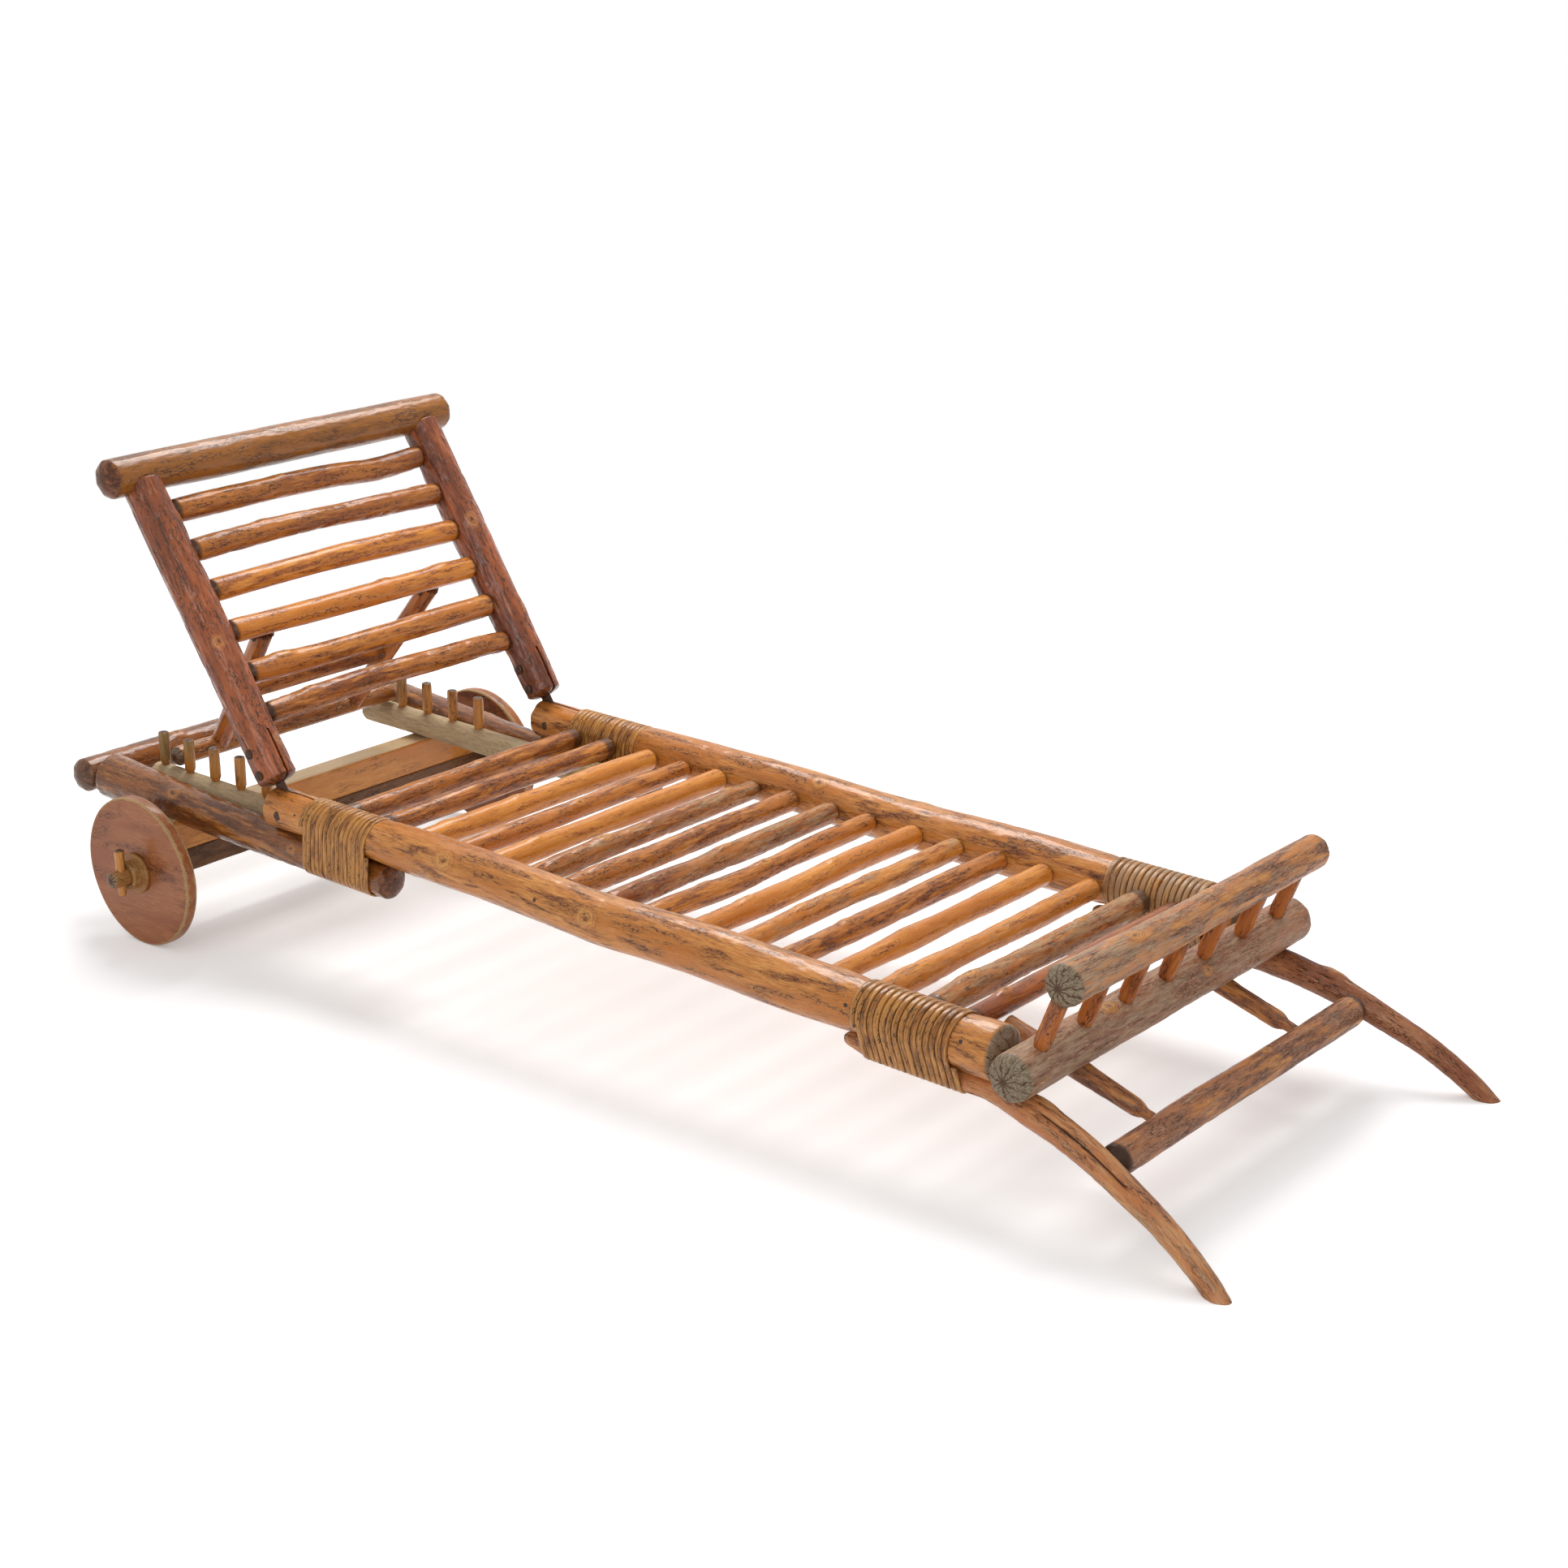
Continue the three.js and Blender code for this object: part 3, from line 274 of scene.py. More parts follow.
class Timber:
    """Turns a stick's sizes into a mesh with knots, bark ridges, cracks and domed ends."""

    DOME_RINGS = 12
    FACETING = 0.9
    # Sizes of the pattern across, up and along the stick, in millimetres.
    LUMP = (38.0, 38.0, 105.0)
    RIDGE = (5.0, 5.0, 42.0)
    FINE_RIDGE = (3.2, 3.2, 20.0)
    SPLIT_WIDTH = 2.3
    SPLIT_DEPTH = 4.5
    CRACK_DEPTH = 0.9
    CRACK_SHARE = 0.16
    # Millimetres over which the grime and painted shade at the ends fade out.
    SHADE_FADE = 10.0
    FACETS = 8
    WHITTLED_FACETS = 9

    def __init__(self, stick: Stick) -> None:
        """Keeps the stick and samples its path.

        Args:
            stick: The sizes to build from.
        """
        self.stick = stick
        rough = smooth_path(stick.path, 200)
        self.length = float(np.linalg.norm(np.diff(rough, axis=0), axis=1).sum())

    def stations(self) -> tuple[np.ndarray, np.ndarray, np.ndarray]:
        """Gives the rings' distances along, their share of the full girth, and how far they are end cuts.

        Returns:
            Three arrays, one value for each ring.
        """
        start, end = (max(cap, 0.4) * MM for cap in self.stick.caps)
        turn = np.linspace(0.03, 1, self.DOME_RINGS) * math.pi / 2
        count = max(4, int((self.length - start - end) / (self.stick.pitch * MM)))
        body = np.linspace(start, self.length - end, count)[1:-1]
        far = self.length - end * (1 - np.cos(turn[::-1]))
        along = np.concatenate([start * (1 - np.cos(turn)), body, far])
        girth = np.concatenate([np.sin(turn), np.ones(len(body)), np.sin(turn[::-1])])
        cut = np.concatenate([1 - turn / (math.pi / 2), np.zeros(len(body)), 1 - turn[::-1] / (math.pi / 2)])
        return along, girth, cut

    def axes(self, along: np.ndarray) -> tuple[np.ndarray, np.ndarray, np.ndarray]:
        """Gives each ring's centre and its two directions across the stick.

        Args:
            along: The rings' distances along the stick.

        Returns:
            Centres, sideways directions and upward directions.
        """
        stick, share = self.stick, along / self.length
        line = smooth_path(stick.path, 400)
        even = np.linspace(0, 1, 400)
        centre = np.column_stack([np.interp(share, even, line[:, k]) for k in range(3)])
        slope = np.gradient(line, axis=0)
        tangent = unit(np.column_stack([np.interp(share, even, slope[:, k]) for k in range(3)]))
        held = np.array([1.0, 0, 0]) if stick.upright else np.array([0, 0, 1.0])
        up = unit(held - tangent * (tangent @ held)[:, None])
        side = np.cross(up, tangent)
        fading = np.sin(math.pi * np.clip(share, 0, 1)) ** 0.7
        sway = stick.character.sway * MM * fading
        still = np.full_like(share, 0.5)
        places = np.column_stack([share * 2.6 * self.length / 0.55, still, still])
        centre = centre + up * (sway * value_noise(places, stick.seed + 301))[:, None]
        centre = centre + side * (sway * value_noise(places + 9, stick.seed + 302))[:, None]
        if stick.character.bends:
            shares, ups, sides = (np.array(column, float) for column in zip(*stick.character.bends))
            control = np.column_stack([shares, ups, sides])
            bent = smooth_path(np.vstack([[0, 0, 0], control, [1, 0, 0]]), 200)
            centre = centre + up * (np.interp(share, bent[:, 0], bent[:, 1]) * MM)[:, None]
            centre = centre + side * (np.interp(share, bent[:, 0], bent[:, 2]) * MM)[:, None]
        return centre, side, up

    def outline(self, angle: np.ndarray) -> np.ndarray:
        """Gives the radius of the cross section at each angle, as a share of the girth.

        Args:
            angle: Angles round the stick in radians.

        Returns:
            One share for each angle.
        """
        if self.stick.section is Section.ROUND:
            return np.ones_like(angle)
        if self.stick.section is Section.SQUARE:
            across, up = np.abs(np.cos(angle)), np.abs(np.sin(angle)) / self.stick.flatness
            return (across**14 + up**14) ** (-1 / 14)
        step = 2 * math.pi / self.WHITTLED_FACETS
        return (0.35 + 0.65 * math.cos(step / 2) / np.cos((angle + 0.3) % step - step / 2)) * 0.995

    def build(self) -> Shape:
        """Builds the mesh.

        Returns:
            The stick's shape.
        """
        stick, wear = self.stick, self.stick.character
        along, girth, cut = self.stations()
        centre, side, up = self.axes(along)
        shares, radii = zip(*stick.girths)
        radius = np.interp(along / self.length, shares, radii) * MM
        angle = np.linspace(0, 2 * math.pi, stick.around, endpoint=False)
        rings, turns = np.meshgrid(np.arange(len(along)), angle, indexing="ij")
        rings, turns = rings.ravel(), turns.ravel()
        reach = self.outline(turns)
        full = radius[rings] * reach
        spot = np.column_stack([full * np.cos(turns), full * np.sin(turns), along[rings]])

        patterns = ((self.LUMP, 0), (self.RIDGE, 11), (self.FINE_RIDGE, 23))
        lumps, coarse, fine = (
            value_noise(spot / (np.array(size) * MM), stick.seed + further) for size, further in patterns
        )
        ridge = 1 - np.abs(coarse * 0.75 + fine * 0.4) * 2.2
        hollow = np.clip(ridge, 0, 1)
        push = wear.lumps * lumps - wear.bark * (hollow**2 * 1.6 + 0.25 * fine)

        knot = np.zeros(len(spot))
        for place, facing, size, height in wear.knots:
            turn = math.radians(facing)
            away = (turns - turn + math.pi) % (2 * math.pi) - math.pi
            distance = np.hypot(away * full, (spot[:, 2] - place * self.length) / 1.35) / (size * MM)
            push = push + height * (np.exp(-(distance**2)) - 0.35 * np.exp(-((distance * 2.4) ** 2)))
            knot = np.maximum(knot, np.clip(1.25 - distance, 0, 1))
        if wear.split:
            start, end, facing = wear.split
            share = along[rings] / self.length
            away = (turns - math.radians(facing) - 0.25 * (share - start) + math.pi) % (2 * math.pi) - math.pi
            inside = np.clip((share - start) / 0.05, 0, 1) * np.clip((end - share) / 0.05, 0, 1)
            groove = np.exp(-((away * full / (self.SPLIT_WIDTH * MM)) ** 2)) * inside
            push = push - self.SPLIT_DEPTH * groove
            hollow = np.maximum(hollow, groove * 1.6)
        end_share = cut[rings]
        places = np.column_stack([turns * wear.cracks / (2 * math.pi), turns * 0, turns * 0])
        spoke = value_noise(places, stick.seed + 41)
        spoke = np.abs(np.sin(turns * wear.cracks / 2 + 2.2 * spoke))
        rift = np.exp(-((spoke / self.CRACK_SHARE) ** 2)) * np.clip(end_share * 6, 0, 1)
        rift = rift * np.clip((1 - end_share) * 8, 0, 1)
        hollow = np.where(end_share > 0.02, rift, hollow)
        push = np.where(end_share > 0.02, wear.lumps * lumps * 0.5 - self.CRACK_DEPTH * rift, push)

        step = 2 * math.pi / self.FACETS
        facet = math.cos(step / 2) / np.cos((turns + 0.2 * stick.seed) % step - step / 2)
        full = full * (1 - np.clip(end_share * 3, 0, 1) * (1 - facet) * self.FACETING)
        out = full * girth[rings] + push * MM * np.clip(girth[rings] * 1.2, 0, 1)
        rise = out * np.sin(turns)
        points = centre[rings] + side[rings] * (out * np.cos(turns))[:, None] + up[rings] * rise[:, None]
        share = along[rings] / self.length
        weather = wear.weather[0] + (wear.weather[1] - wear.weather[0]) * share
        ends = np.minimum(along[rings], self.length - along[rings])
        # Grime and painted shade darken each end, up to the joint that it enters.
        soot_and_shade = wear.grime_and_shade * np.clip((wear.shade_reach + self.SHADE_FADE / 2 - ends / MM) / self.SHADE_FADE, 0, 1)
        spot[:, :2] *= girth[rings][:, None]
        grain = spot + np.array([0, 0, stick.seed * SEED_STEP])
        bare = np.full_like(share, wear.bare)
        traits = np.column_stack([bare, weather, np.clip(end_share * 9, 0, 1)])
        marks = np.column_stack([knot, hollow, soot_and_shade])
        return self.close(points, grain, traits, marks, len(along), centre)

    def close(
        self, points: np.ndarray, grain: np.ndarray, traits: np.ndarray, marks: np.ndarray, rings: int,
        centre: np.ndarray,
    ) -> Shape:
        """Joins the rings into faces and closes both ends.

        Args:
            points: Ring points, ring by ring.
            grain: Each point's place in the stick's own wood.
            traits: Each point's bareness, weathering and end cut.
            marks: Each point's knot, hollow, and grime with painted shade.
            rings: How many rings there are.
            centre: The rings' centres.

        Returns:
            The closed shape.
        """
        around = self.stick.around
        faces: list[tuple[int, ...]] = []
        for i in range(rings - 1):
            low, high = i * around, (i + 1) * around
            for j in range(around):
                after = (j + 1) % around
                faces.append((low + j, high + j, high + after, low + after))
        for ring, first in ((0, True), (rings - 1, False)):
            base, tip = ring * around, len(points)
            points = np.vstack([points, centre[ring]])
            middle = grain[base:base + around].mean(axis=0)
            grain = np.vstack([grain, middle])
            traits = np.vstack([traits, traits[base]])
            marks = np.vstack([marks, marks[base:base + around].mean(axis=0)])
            for j in range(around):
                pair = (base + j, base + (j + 1) % around)
                faces.append((*pair, tip) if first else (*pair[::-1], tip))
        faces = [face[::-1] for face in faces]
        return Shape(points, faces, grain, traits, marks, [self.stick.material_index] * len(faces))


def lathe(
    profile: Outline,
    centre: np.ndarray,
    outward: float,
    seed: int,
    around: int = 96,
    wear_edge: Callable[[np.ndarray, np.ndarray], np.ndarray] | None = None,
    roughen: float = 0.0,
) -> Shape:
    """Turns a closed profile about a line across the lounger.

    Args:
        profile: Radius and outward offset pairs in millimetres, round the closed profile.
        centre: The place that the offsets start from, in metres.
        outward: Plus or minus one, the way that offsets grow across the lounger.
        seed: Which grain.
        around: How many points go round.
        wear_edge: Gives the worn share from radii and offsets.
        roughen: How far the surface wanders, in millimetres.

    Returns:
        The turned shape.
    """
    radius, offset = (np.array(column, float) for column in zip(*profile))
    angle = np.linspace(0, 2 * math.pi, around, endpoint=False)
    steps, turns = np.meshgrid(np.arange(len(profile)), angle, indexing="ij")
    steps, turns = steps.ravel(), turns.ravel()
    places = np.column_stack([np.cos(turns) * 2.2, np.sin(turns) * 2.2, offset[steps] / 9])
    wander = value_noise(places, seed) * roughen
    outer = radius[steps] - np.abs(wander)
    flat = np.column_stack([outer * np.cos(turns), offset[steps], outer * np.sin(turns)]) * MM
    points = centre + flat * np.array([1, outward, 1])
    grain = np.column_stack([flat[:, 1], flat[:, 2], flat[:, 0] + seed * SEED_STEP])
    worn = wear_edge(radius[steps], offset[steps]) if wear_edge else np.zeros(len(points))
    traits = np.column_stack([np.full(len(points), 0.6), worn, np.zeros(len(points))])
    marks = np.column_stack([np.zeros(len(points)), np.zeros(len(points)), np.zeros(len(points))])
    faces = []
    for i in range(len(profile)):
        low, high = i * around, (i + 1) % len(profile) * around
        for j in range(around):
            after = (j + 1) % around
            face = (low + j, low + after, high + after, high + j)
            faces.append(face if outward > 0 else face[::-1])
    return Shape(points, faces, grain, traits, marks, [0] * len(faces))


def rounded(corners: Outline, radius: float, steps: int = 4) -> list[tuple[float, float]]:
    """Rounds the corners of a closed outline.

    Args:
        corners: The corners in order.
        radius: How far back from each corner the rounding starts.
        steps: How many points each rounding gets, less one.

    Returns:
        The rounded outline's points.
    """
    made = []
    for i, corner in enumerate(corners):
        here = np.array(corner, float)
        before, after = np.array(corners[i - 1], float), np.array(corners[(i + 1) % len(corners)], float)
        start, end = here + unit(before - here) * radius, here + unit(after - here) * radius
        for t in np.linspace(0, 1, steps + 1):
            made.append(tuple((1 - t) ** 2 * start + 2 * t * (1 - t) * here + t**2 * end))
    return made


def make_piece(name: str, shape: Shape, materials: Sequence[bpy.types.Material]) -> bpy.types.Object:
    """Makes a Blender object from a shape.

    Args:
        name: The piece's name.
        shape: Its points, faces and marks.
        materials: Its materials, in the order of its faces' material numbers.

    Returns:
        The new object.
    """
    mesh = bpy.data.meshes.new(name)
    mesh.from_pydata(shape.points.tolist(), [], shape.faces)
    for key, values in (("grain_place", shape.grain), ("traits", shape.traits), ("marks", shape.marks)):
        attribute = mesh.attributes.new(key, "FLOAT_VECTOR", "POINT")
        attribute.data.foreach_set("vector", values.astype(np.float32).ravel())
    mesh.polygons.foreach_set("material_index", shape.face_materials)
    mesh.polygons.foreach_set("use_smooth", [True] * len(shape.faces))
    for material in materials:
        mesh.materials.append(material)
    mesh.update()
    piece = bpy.data.objects.new(name, mesh)
    bpy.context.scene.collection.objects.link(piece)
    return piece


def saw_slot(piece: bpy.types.Object, corners: np.ndarray) -> None:
    """Saws a straight slot out of a piece and paints shade on its new walls.

    Args:
        piece: The piece to cut.
        corners: The slot's eight corners: four of its lower face, then the four above them.
    """
    before = np.zeros(len(piece.data.vertices) * 3, np.float32)
    piece.data.vertices.foreach_get("co", before)
    before = before.reshape(-1, 3)
    kept = {}
    for key in ("grain_place", "traits", "marks"):
        values = np.zeros(len(before) * 3, np.float32)
        piece.data.attributes[key].data.foreach_get("vector", values)
        kept[key] = values.reshape(-1, 3)
    tree = KDTree(len(before))
    for i, point in enumerate(before):
        tree.insert(point, i)
    tree.balance()

    cutter_mesh = bpy.data.meshes.new("slot_cutter")
    quads = [(0, 3, 2, 1), (4, 5, 6, 7), (0, 1, 5, 4), (1, 2, 6, 5), (2, 3, 7, 6), (3, 0, 4, 7)]
    cutter_mesh.from_pydata(corners.tolist(), [], quads)
    cutter_mesh.validate()
    cutter = bpy.data.objects.new("slot_cutter", cutter_mesh)
    bpy.context.scene.collection.objects.link(cutter)
    modifier = piece.modifiers.new("slot", "BOOLEAN")
    modifier.operation, modifier.solver, modifier.object = "DIFFERENCE", "EXACT", cutter
    bpy.context.view_layer.update()
    cut = bpy.data.meshes.new_from_object(piece.evaluated_get(bpy.context.evaluated_depsgraph_get()))
    piece.modifiers.remove(modifier)
    bpy.data.objects.remove(cutter)

    nearest = [tree.find(vertex.co) for vertex in cut.vertices]
    index = np.array([n[1] for n in nearest])
    gap = np.array([n[2] for n in nearest])
    for key, values in kept.items():
        taken = values[index]
        if key == "marks":
            # New walls, away from the old surface, get painted shade through the hollow and grime marks.
            taken = taken + np.outer(np.clip(gap / (1.2 * MM), 0, 1), [0, 0.5, 0.8])
        if key in cut.attributes:
            cut.attributes.remove(cut.attributes[key])
        attribute = cut.attributes.new(key, "FLOAT_VECTOR", "POINT")
        attribute.data.foreach_set("vector", taken.astype(np.float32).ravel())
    cut.name = piece.name
    piece.data = cut


def add_node(
    tree: bpy.types.NodeTree, kind: str, settings: dict[str | int, Any] | None = None,
    links: dict[str | int, bpy.types.NodeSocket] | None = None,
) -> bpy.types.Node:
    """Adds a node with its settings and links.

    Args:
        tree: The material's or world's nodes.
        kind: The node's type, less its first part, ShaderNode.
        settings: Values for its inputs or its own properties.
        links: What each of its inputs is joined to.

    Returns:
        The new node.
    """
    node = tree.nodes.new(f"ShaderNode{kind}")
    for key, value in (settings or {}).items():
        if isinstance(key, int) or key in node.inputs:
            node.inputs[key].default_value = value
        else:
            setattr(node, key, value)
    for key, source in (links or {}).items():
        tree.links.new(source, node.inputs[key])
    return node


class Step(Enum):
    """What a node does: its type, the settings that it always has here, and its main output."""

    GRAIN_PLACE = ("Attribute", {"attribute_name": "grain_place"}, "Vector")
    TRAITS = ("Attribute", {"attribute_name": "traits"}, "Vector")
    MARKS = ("Attribute", {"attribute_name": "marks"}, "Vector")
    OWN_PLACE = ("TexCoord", {}, "Object")
    RAYS = ("LightPath", {}, 0)
    PARTS = ("SeparateXYZ", {}, "X")
    FLAT = ("CombineXYZ", {}, "Vector")
    SCALED = ("Mapping", {}, "Vector")
    MOVED = ("VectorMath", {"operation": "ADD"}, "Vector")
    LENGTH = ("VectorMath", {"operation": "LENGTH"}, "Value")
    NOISE = ("TexNoise", {}, "Fac")
    GRAIN = ("TexNoise", {"Scale": 1.0, "Roughness": 0.62, "Distortion": 0.25}, "Fac")
    CELLS = ("TexVoronoi", {"feature": "DISTANCE_TO_EDGE", "Scale": 1.0}, "Distance")
    RAMP = ("MapRange", {"clamp": True, "interpolation_type": "SMOOTHSTEP"}, "Result")
    SPREAD = ("MapRange", {}, "Result")
    MIX = ("Mix", {"data_type": "RGBA"}, 2)
    SHARE = ("Math", {"operation": "MULTIPLY", "use_clamp": True}, 0)
    TIMES = ("Math", {"operation": "MULTIPLY"}, 0)
    TIMES_PLUS = ("Math", {"operation": "MULTIPLY_ADD"}, 0)
    CAPPED_SUM = ("Math", {"operation": "ADD", "use_clamp": True}, 0)
    SUM = ("Math", {"operation": "ADD"}, 0)
    REST = ("Math", {"operation": "SUBTRACT", "use_clamp": True}, 0)
    LESS = ("Math", {"operation": "SUBTRACT"}, 0)
    MOST = ("Math", {"operation": "MAXIMUM", "use_clamp": True}, 0)
    WAVE = ("Math", {"operation": "SINE"}, 0)
    SIZE = ("Math", {"operation": "ABSOLUTE"}, 0)
    ANGLE = ("Math", {"operation": "ARCTAN2"}, 0)
    BUMP = ("Bump", {}, "Normal")
    SURFACE = ("BsdfPrincipled", {}, 0)
    PAPER = ("BsdfDiffuse", {}, 0)
    GLOW = ("Emission", {}, 0)
    BOTH = ("AddShader", {}, 0)
    EITHER = ("MixShader", {}, 0)
    SKY = ("Background", {}, 0)
    OUTPUT = ("OutputMaterial", {}, 0)
    WORLD_OUTPUT = ("OutputWorld", {}, 0)


Row = tuple[str, Step, dict[str | int, Any]]

# Seen is one where the camera, gloss or clear glass looks at something, and nought for the light on it.
SEEN_ROWS: tuple[Row, ...] = (
    ("rays", Step.RAYS, {}),
    ("straight or mirrored", Step.MOST, {0: "rays/Is Camera Ray", 1: "rays/Is Glossy Ray"}),
    ("seen", Step.MOST, {0: "straight or mirrored", 1: "rays/Is Transmission Ray"}),
)


def add_rows(tree: bpy.types.NodeTree, rows: Sequence[Row]) -> None:
    """Adds nodes row by row, so that each can link to the ones before it.

    Args:
        tree: The material's or world's nodes.
        rows: Each node's name, its step and what goes into it. A text is the name of an earlier row, and may
            add a slash and one of its outputs. A ramp's inputs 1 and 2 are what gives nought and one.
    """
    made: dict[str, bpy.types.Node] = {}
    main: dict[str, str | int] = {}
    for name, step, values in rows:
        kind, always, main[name] = step.value
        settings, links = dict(always), {}
        for key, value in values.items():
            if isinstance(value, str):
                row, _, output = value.partition("/")
                links[key] = made[row].outputs[output or main[row]]
            else:
                settings[key] = value
        made[name] = add_node(tree, kind, settings, links)


def new_material(name: str, rows: Sequence[Row]) -> bpy.types.Material:
    """Makes a material from its rows of nodes.

    Args:
        name: The material's name.
        rows: Its nodes, the output last.

    Returns:
        The new material.
    """
    material = bpy.data.materials.new(name)
    material.use_nodes = True
    material.node_tree.nodes.clear()
    add_rows(material.node_tree, rows)
    return material


def pair(first: str, second: str) -> dict[str | int, Any]:
    """Gives the settings of a mix between two hex colours."""
    return {6: linear(first), 7: linear(second)}


@dataclass(frozen=True)
class WoodFinish:
    """Bark-on, peeled, sawn or weathered wood, told apart by its colours and how worn it is.

    The bark's ridges are 2 to 4 mm across and run on for 20 to 40 mm. Where they have worn through, smooth
    amber wood shows in long flakes. A varnish lies over both, and is dull where the wood went grey.
    """

    name: str
    bark: tuple[str, str] = ("8a4e24", "b4763a")
    bare: tuple[str, str] = ("b66c2c", "dc9c56")
    grey: tuple[str, str] = ("927456", "c4a47c")
    fissure: str = "4e2a12"
    split: str = "2c170a"
    # Colour of the grime and painted shade by joints, in slots and between cane strands.
    soot_and_shade: str = "3a2414"
    end: tuple[str, str] = ("4a2614", "864e2c")
    ridge_width: float = 2.2
    ridge_length: float = 20.0
    flake_width: float = 12.0
    flake_length: float = 70.0
    fissure_share: float = 0.42
    check_width: float = 3.6
    check_length: float = 15.0
    gloss: float = 0.26
    matt: float = 0.66
    varnish: float = 0.25
    relief: float = 0.5
    silver: tuple[str, str] = ("6c5d4a", "93836c")
    scuff: str = "dcb486"
    scuff_share: float = 0.66

    def streaks(
        self, name: str, width: float, length: float, detail: float, shift: float = 0.0
    ) -> tuple[Row, Row]:
        """Gives the rows of noise drawn out along the grain.

        Args:
            name: The noise's name.
            width: Size of a streak across the grain, in millimetres.
            length: Size of a streak along the grain, in millimetres.
            detail: How many finer layers it has.
            shift: Moves the pattern, so that two of one size differ.

        Returns:
            The row of its place and its own row.
        """
        across, along = 1 / (width * MM), 1 / (length * MM)
        place = {"Scale": (across, across, along), "Location": (shift, shift * 0.7, shift * 1.3)}
        return (
            (f"{name} place", Step.SCALED, {"Vector": "place", **place}),
            (name, Step.GRAIN, {"Vector": f"{name} place", "Detail": detail}),
        )

    def mark_rows(self) -> tuple[Row, ...]:
        """Gives the rows of the marks in the mesh.

        Returns:
            The place in the grain, then bareness, weather and cut as X, Y and Z of traits, and knot, hollow
            and grime with painted shade as those of marks.
        """
        return (
            ("place", Step.GRAIN_PLACE, {}),
            ("all traits", Step.TRAITS, {}),
            ("traits", Step.PARTS, {"Vector": "all traits"}),
            ("all marks", Step.MARKS, {}),
            ("marks", Step.PARTS, {"Vector": "all marks"}),
        )

    def bark_rows(self) -> tuple[Row, ...]:
        """Gives the rows of the bark, the amber wood where it has worn through, and their cracks.

        Returns:
            The rows, the last one the colour so far.
        """
        across, along = 1 / (self.check_width * MM), 1 / (self.check_length * MM)
        return (
            *self.streaks("ridge", self.ridge_width, self.ridge_length, 4),
            # Real fibres are 0.1 to 0.3 mm wide. They are drawn 0.9 mm wide, so that they show.
            *self.streaks("fibre", 0.9, 24, 2, 3),
            *self.streaks("flake", self.flake_width, self.flake_length, 4, 7),
            *self.streaks("tone", 48, 210, 2, 11),
            ("bark tone", Step.RAMP, {0: "tone", 1: 0.35, 2: 0.65}),
            ("bark", Step.MIX, {0: "bark tone", **pair(*self.bark)}),
            ("pale fibre", Step.RAMP, {0: "fibre", 1: 0.3, 2: 0.7}),
            ("fibres", Step.MIX, {0: "pale fibre", **pair(*self.bare)}),
            ("deep tone", Step.RAMP, {0: "tone", 1: 0.38, 2: 0.7}),
            ("amber", Step.MIX, {0: "deep tone", 6: "fibres", 7: linear(self.bare[0])}),
            ("flaked", Step.SUM, {0: "flake", 1: "traits/X"}),
            ("laid bare", Step.RAMP, {0: "flaked", 1: 0.89, 2: 1.13}),
            ("bark and amber", Step.MIX, {0: "laid bare", 6: "bark", 7: "amber"}),
            ("fissures", Step.RAMP, {0: "ridge", 1: self.fissure_share, 2: self.fissure_share - 0.07}),
            # The net of fine checks that drying bark breaks into.
            ("check place", Step.SCALED, {"Vector": "place", "Scale": (across, across, along)}),
            ("check bend", Step.NOISE, {"Vector": "check place", "Scale": 0.9, "Detail": 2.0}),
            ("bent place", Step.MOVED, {0: "check place", 1: "check bend/Color"}),
            ("check cells", Step.CELLS, {"Vector": "bent place"}),
            ("check net", Step.RAMP, {0: "check cells", 1: 0.11, 2: 0.03}),
            ("on bark", Step.RAMP, {0: "flake", 1: 0.56, 2: 0.4}),
            ("checks", Step.SHARE, {0: "check net", 1: "on bark"}),
            ("fissures and checks", Step.MOST, {0: "fissures", 1: "checks"}),
            ("hollows", Step.RAMP, {0: "marks/Y", 1: 0.85, 2: 1.4}),
            ("all cracks", Step.MOST, {0: "fissures and checks", 1: "hollows"}),
            ("worn smooth", Step.SHARE, {0: "laid bare", 1: 0.68}),
            ("kept", Step.REST, {0: 1.0, 1: "worn smooth"}),
            ("cracks", Step.SHARE, {0: "all cracks", 1: "kept"}),
            ("cracked", Step.MIX, {0: "cracks", 6: "bark and amber", 7: linear(self.fissure)}),
        )

    def wear_rows(self) -> tuple[Row, ...]:
        """Gives the rows of scuffs, of wood gone grey and of long splits.

        Returns:
            The rows, the last one the colour so far.
        """
        return (
            *self.streaks("fleck", 1.5, 15, 4, 17),
            ("rubbed", Step.SHARE, {0: "traits/Y", 1: 0.16}),
            ("flecks", Step.SUM, {0: "fleck", 1: "rubbed"}),
            ("bright flecks", Step.RAMP, {0: "flecks", 1: self.scuff_share, 2: self.scuff_share + 0.09}),
            ("scuffs", Step.SHARE, {0: "bright flecks", 1: 0.8}),
            ("scuffed", Step.MIX, {0: "scuffs", 6: "cracked", 7: linear(self.scuff)}),
            *self.streaks("patch", 9, 60, 4, 23),
            ("patches", Step.SUM, {0: "patch", 1: "traits/Y"}),
            ("aged", Step.RAMP, {0: "patches", 1: 0.82, 2: 1.12}),
            ("pale ridge", Step.RAMP, {0: "ridge", 1: 0.28, 2: 0.72}),
            ("greyed", Step.MIX, {0: "pale ridge", **pair(*self.grey)}),
            ("grey share", Step.SHARE, {0: "aged", 1: 0.8}),
            ("weathered", Step.MIX, {0: "grey share", 6: "scuffed", 7: "greyed"}),
            ("splits", Step.RAMP, {0: "marks/Y", 1: 1.05, 2: 1.45}),
            ("worn", Step.MIX, {0: "splits", 6: "weathered", 7: linear(self.split)}),
        )

